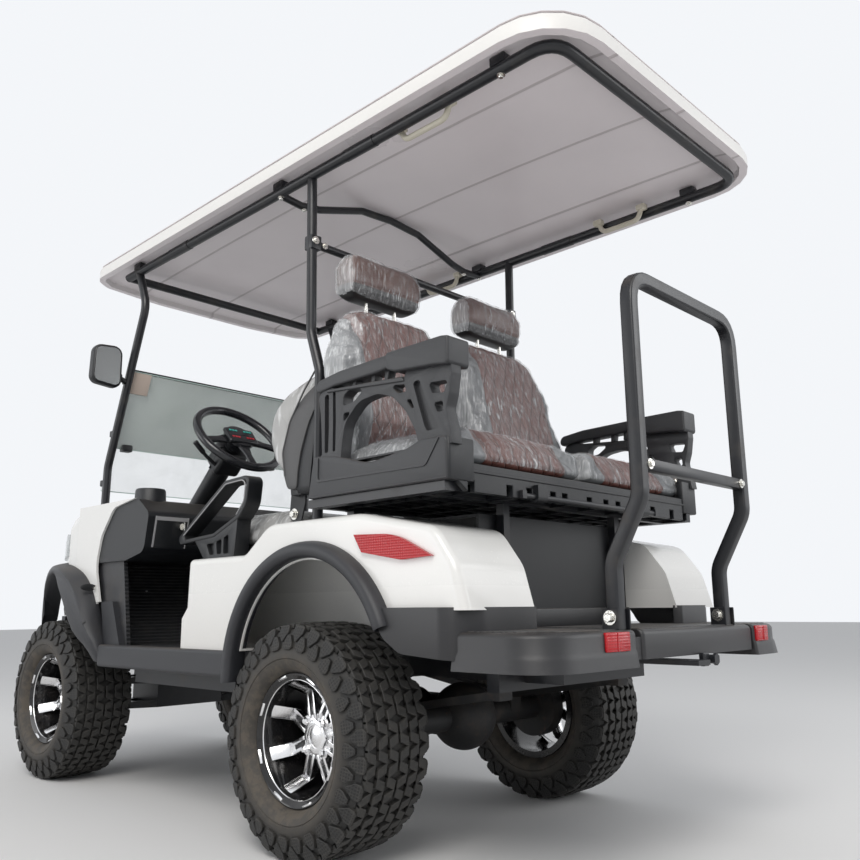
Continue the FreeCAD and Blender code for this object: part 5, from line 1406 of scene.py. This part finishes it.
def seat_loops():
    line = [(775, 857, 16), (503, 1022, 40), (366, 1028, 24), (379, 936, 60), (420, 895, 60), (556, 845, 60),
            (762, 832, 8)]
    hole = [(736, 862, 6), (498, 1008, 30), (382, 1013, 12), (392, 944, 50), (431, 906, 50), (560, 858, 50),
            (734, 848, 4)]
    base = side("seat_loop", [(440, 770), (426, 897), (556, 848), (672, 842), (604, 770)], 448, 500)
    for corners in ([(470, 790, 6), (474, 850, 6), (500, 840, 6), (500, 790, 6)],
                    [(512, 790, 6), (512, 838, 6), (542, 830, 6), (536, 790, 6)],
                    [(554, 790, 6), (556, 826, 6), (600, 826, 6), (578, 790, 6)]):
        cut(base, side("hole", corners, 486, 510))
    bevelled(base, 0.003, 2)
    loop = cut(side("loop", line, 446, 502), side("hole", hole, 440, 510))
    bevelled(loop, 0.0045, 3)
    # a pale thin tube along the loop's outer edge: painted highlight
    edge = tube("loop_edge", [at(501, 740, 863), at(501, 499, 1010), at(501, 384, 1015), at(501, 393, 946),
                              at(501, 432, 908)], 0.0022, 0.03)
    half = join(loop, base)
    finish(half, "cart", "black_trim", replaces=("front_seat_loops",), smooth=40)
    finish(mirrored(half, "seat_loop_left"), "cart", "black_trim", smooth=40)
    finish(join(edge, mirrored(edge, "loop_edge")), "cart", "grey_trim", PALE_EDGE)


def strip(name, rows):
    """A skin through rows of points, all the same length; each row is a grid line."""
    across_it, along_it = len(rows[0]), len(rows)
    piece = start("grid", name, x_subdivisions=across_it - 1, y_subdivisions=along_it - 1, size=1.0)
    spots = sorted(range(len(piece.data.vertices)),
                   key=lambda i: (round(piece.data.vertices[i].co.y, 4), round(piece.data.vertices[i].co.x, 4)))
    flat_points = [point for row in rows for point in row]
    for index, point in zip(spots, flat_points):
        piece.data.vertices[index].co = point
    return piece


def front_flares():
    def out_x(y):
        return 575 - 150 * max(0.0, (y - 1400) / 520)

    root = [(1103, 435), (1110, 500), (1150, 560), (1184, 628), (1214, 674), (1246, 712), (1290, 746), (1350, 772),
            (1430, 792), (1530, 806), (1640, 806), (1740, 784), (1816, 736), (1862, 670), (1880, 600)]
    crest = [(1100, 440), (1130, 520), (1166, 570), (1200, 616), (1230, 654), (1262, 690), (1306, 726), (1364, 756),
             (1438, 778), (1536, 790), (1640, 790), (1732, 766), (1800, 720), (1842, 660), (1858, 600)]
    lip = []
    for k in range(15):
        angle = math.radians(170 - 152 * k / 14)
        lip.append((1600 + 326 * math.cos(angle), 452 + 316 * math.sin(angle)))
    lip[0], lip[1], lip[2] = (1150, 440), (1182, 506), (1262, 534)
    bulge = [18, 44, 58, 60, 60, 60, 60, 60, 60, 60, 60, 60, 58, 54, 50]
    rows = [[at(out_x(y) - 14, y + 6, z - 4) for y, z in root],
            [at(out_x(y) + 2, y, z) for y, z in root],
            [at(out_x(y) + b - 8, y - 3, z + 3) for (y, z), b in zip(crest, bulge)],
            [at(out_x(y) + b, y + 4, z - 2) for (y, z), b in zip(crest, bulge)],
            [at(out_x(y) + b - 1, y, z + 8) for (y, z), b in zip(lip, bulge)],
            [at(out_x(y) + b - 8, y, z) for (y, z), b in zip(lip, bulge)],
            [at(out_x(y) - 20, y, z + 6) for y, z in lip]]
    right = strip("front_flare_right", rows)
    outward(right)
    modify(right, "SOLIDIFY", thickness=0.004, offset=-1.0)
    modify(right, "SUBSURF", levels=1, render_levels=1)
    scoops, screws = [], []
    for y, z, x in ((1216, 702, 590), (1170, 574, 594)):
        # a flattened near-black ellipsoid in each scoop: painted shade in its hollow
        pocket = start("uv_sphere", "flare_scoops", segments=24, ring_count=12, radius=1.0)
        pocket.scale = (0.030, 0.006, 0.0125)
        settle(pocket)
        scoops.append(again(pocket, "scoop", at(x + 8, y, z)))
        bpy.data.objects.remove(pocket)
        screws.append(rod("flare_screws", at(x - 8, y - 10, z - 3), at(x - 8, y, z - 3), 0.005, 14))
    left = mirrored(right, "front_flare_left")
    finish(right, "cart", "grey_trim", smooth=40)
    finish(left, "cart", "grey_trim", smooth=40)
    dark, bright = join(*scoops), join(*screws)
    finish(join(dark, mirrored(dark, "scoops")), "cart", "grey_trim", SCOOP_SHADE)
    finish(join(bright, mirrored(bright, "screws")), "cart", "grey_trim", BOLTS)
    # the rear flares: a rolled arch with a stepped inner lip
    angles = [math.radians(a) for a in range(-4, 158, 7)]

    def arc(r, x, extra=0):
        return [at(x, -40 + r * math.cos(a), 440 + (r + extra) * math.sin(a)) for a in angles]

    rear = strip("rear_flare_right", [arc(352, 572), arc(356, 588), arc(350, 612), arc(340, 622), arc(324, 622),
                                      arc(312, 616), arc(309, 600), arc(311, 560)])
    outward(rear)
    modify(rear, "SOLIDIFY", thickness=0.004, offset=-1.0)
    modify(rear, "SUBSURF", levels=1, render_levels=1)
    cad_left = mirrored(rear, "rear_flare_left")
    finish(rear, "cart", "grey_trim", smooth=45)
    finish(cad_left, "cart", "grey_trim", smooth=45)
    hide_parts("wheel_flares")


def mirrors():
    house = across("mirror_housing", [(-648, 1462, 30), (-644, 1612, 34), (-530, 1620, 34), (-528, 1450, 30)], 1204, 1246)
    bevelled(house, 0.013, 4)
    cut(house, across("recess", [(-639, 1470, 22), (-636, 1604, 26), (-539, 1611, 26), (-537, 1459, 22)], 1196, 1208))
    glass = across("mirror_glass", [(-638, 1471, 21), (-635, 1603, 25), (-540, 1610, 25), (-538, 1460, 21)], 1206, 1209)
    arm = tube("mirror_arm", [at(-540, 1226, 1500), at(-520, 1228, 1494), at(-500, 1240, 1490)], 0.010, 0.01)
    knob = rod("knob", at(-545, 1226, 1500), at(-526, 1226, 1500), 0.015, 20)
    dark = join(house, arm, knob)
    finish(dark, "cart", "black_trim", replaces=("mirrors",))
    finish(mirrored(dark, "mirror_right"), "cart", "black_trim")
    finish(join(glass, mirrored(glass, "glass")), "cart", "black_trim", MIRROR)


MIRROR = moulded("mirror_glass", (0.55, 0.60, 0.60), 0.06)
MIRROR.node_tree.nodes["Principled BSDF"].inputs["Metallic"].default_value = 1.0
EDGE_GLASS = moulded("pane_rim", (0.45, 0.60, 0.55), 0.2)
PALE_EDGE = moulded("pale_edge", (0.32, 0.32, 0.33), 0.4)
RED_KEYS = moulded("red_keys", (0.45, 0.02, 0.03), 0.4)
TEAL_KEYS = moulded("teal_keys", (0.05, 0.42, 0.36), 0.4)
windshield()
steering()
dashboard_details()
seat_loops()
front_flares()
mirrors()


# Stage, camera and lights
def stage():
    bpy.ops.object.select_all(action="DESELECT")
    bpy.ops.mesh.primitive_plane_add(size=60.0, location=(0, 0, 0))
    floor = bpy.context.object
    floor.name = "floor"
    paint = Finish("floor", Roughness=0.9)
    paint.color((0.80, 0.80, 0.80))
    floor.data.materials.append(paint.material)


def camera():
    """The photograph's viewpoint: behind the cart's left side, low, looking up a little."""
    lens = bpy.data.cameras.new("photo_view")
    lens.sensor_fit = "HORIZONTAL"
    lens.angle = 2 * math.atan(430 / 852.64)
    lens.clip_end = 200
    view = bpy.data.objects.new("photo_view", lens)
    bpy.context.collection.objects.link(view)
    turn = (Matrix.Rotation(math.radians(43.995 - 90), 4, "Z") @ Matrix.Rotation(math.radians(90 + 11.791), 4, "X")
            @ Matrix.Rotation(math.radians(-0.548), 4, "Z"))
    view.matrix_world = Matrix.Translation((-1.98596, -1.84304 + SHIFT, 0.61740)) @ turn
    bpy.context.scene.camera = view


def lamp(name, place, aim, size, power, color=(1, 1, 1)):
    light = bpy.data.lights.new(name, "AREA")
    light.size = size
    light.energy = power
    light.color = color
    rig = bpy.data.objects.new(name, light)
    bpy.context.collection.objects.link(rig)
    rig.location = place
    rig.rotation_euler = (Vector(aim) - Vector(place)).to_track_quat("-Z", "Y").to_euler()


def lights():
    """A soft pale room: it lights the cart at one strength and shows white to the camera, glass and gloss."""
    world = bpy.data.worlds.new("studio")
    bpy.context.scene.world = world
    world.use_nodes = True
    tree = world.node_tree
    sky = tree.nodes["Background"]
    sky.inputs["Color"].default_value = (0.95, 0.97, 1.0, 1)
    path = tree.nodes.new("ShaderNodeLightPath")
    seen = None
    for ray in ("Is Camera Ray", "Is Glossy Ray", "Is Transmission Ray"):
        if seen is None:
            seen = path.outputs[ray]
            continue
        total = tree.nodes.new("ShaderNodeMath")
        total.operation = "MAXIMUM"
        tree.links.new(seen, total.inputs[0])
        tree.links.new(path.outputs[ray], total.inputs[1])
        seen = total.outputs[0]
    strength = tree.nodes.new("ShaderNodeMapRange")
    strength.inputs["To Min"].default_value = 0.5
    strength.inputs["To Max"].default_value = 0.95
    tree.links.new(seen, strength.inputs["Value"])
    tree.links.new(strength.outputs[0], sky.inputs["Strength"])
    lamp("key", (-4.5, -3.5, 5.5), (0, -0.4, 0.7), 3.5, 275, (1, 0.97, 0.93))
    lamp("fill", (-5.0, 3.0, 2.0), (0, 0.3, 0.9), 3.0, 60)
    lamp("back", (3.5, -5.0, 3.0), (0, -0.5, 1.0), 3.0, 80)


stage()
camera()
lights()
bpy.context.scene.view_settings.view_transform = "Standard"
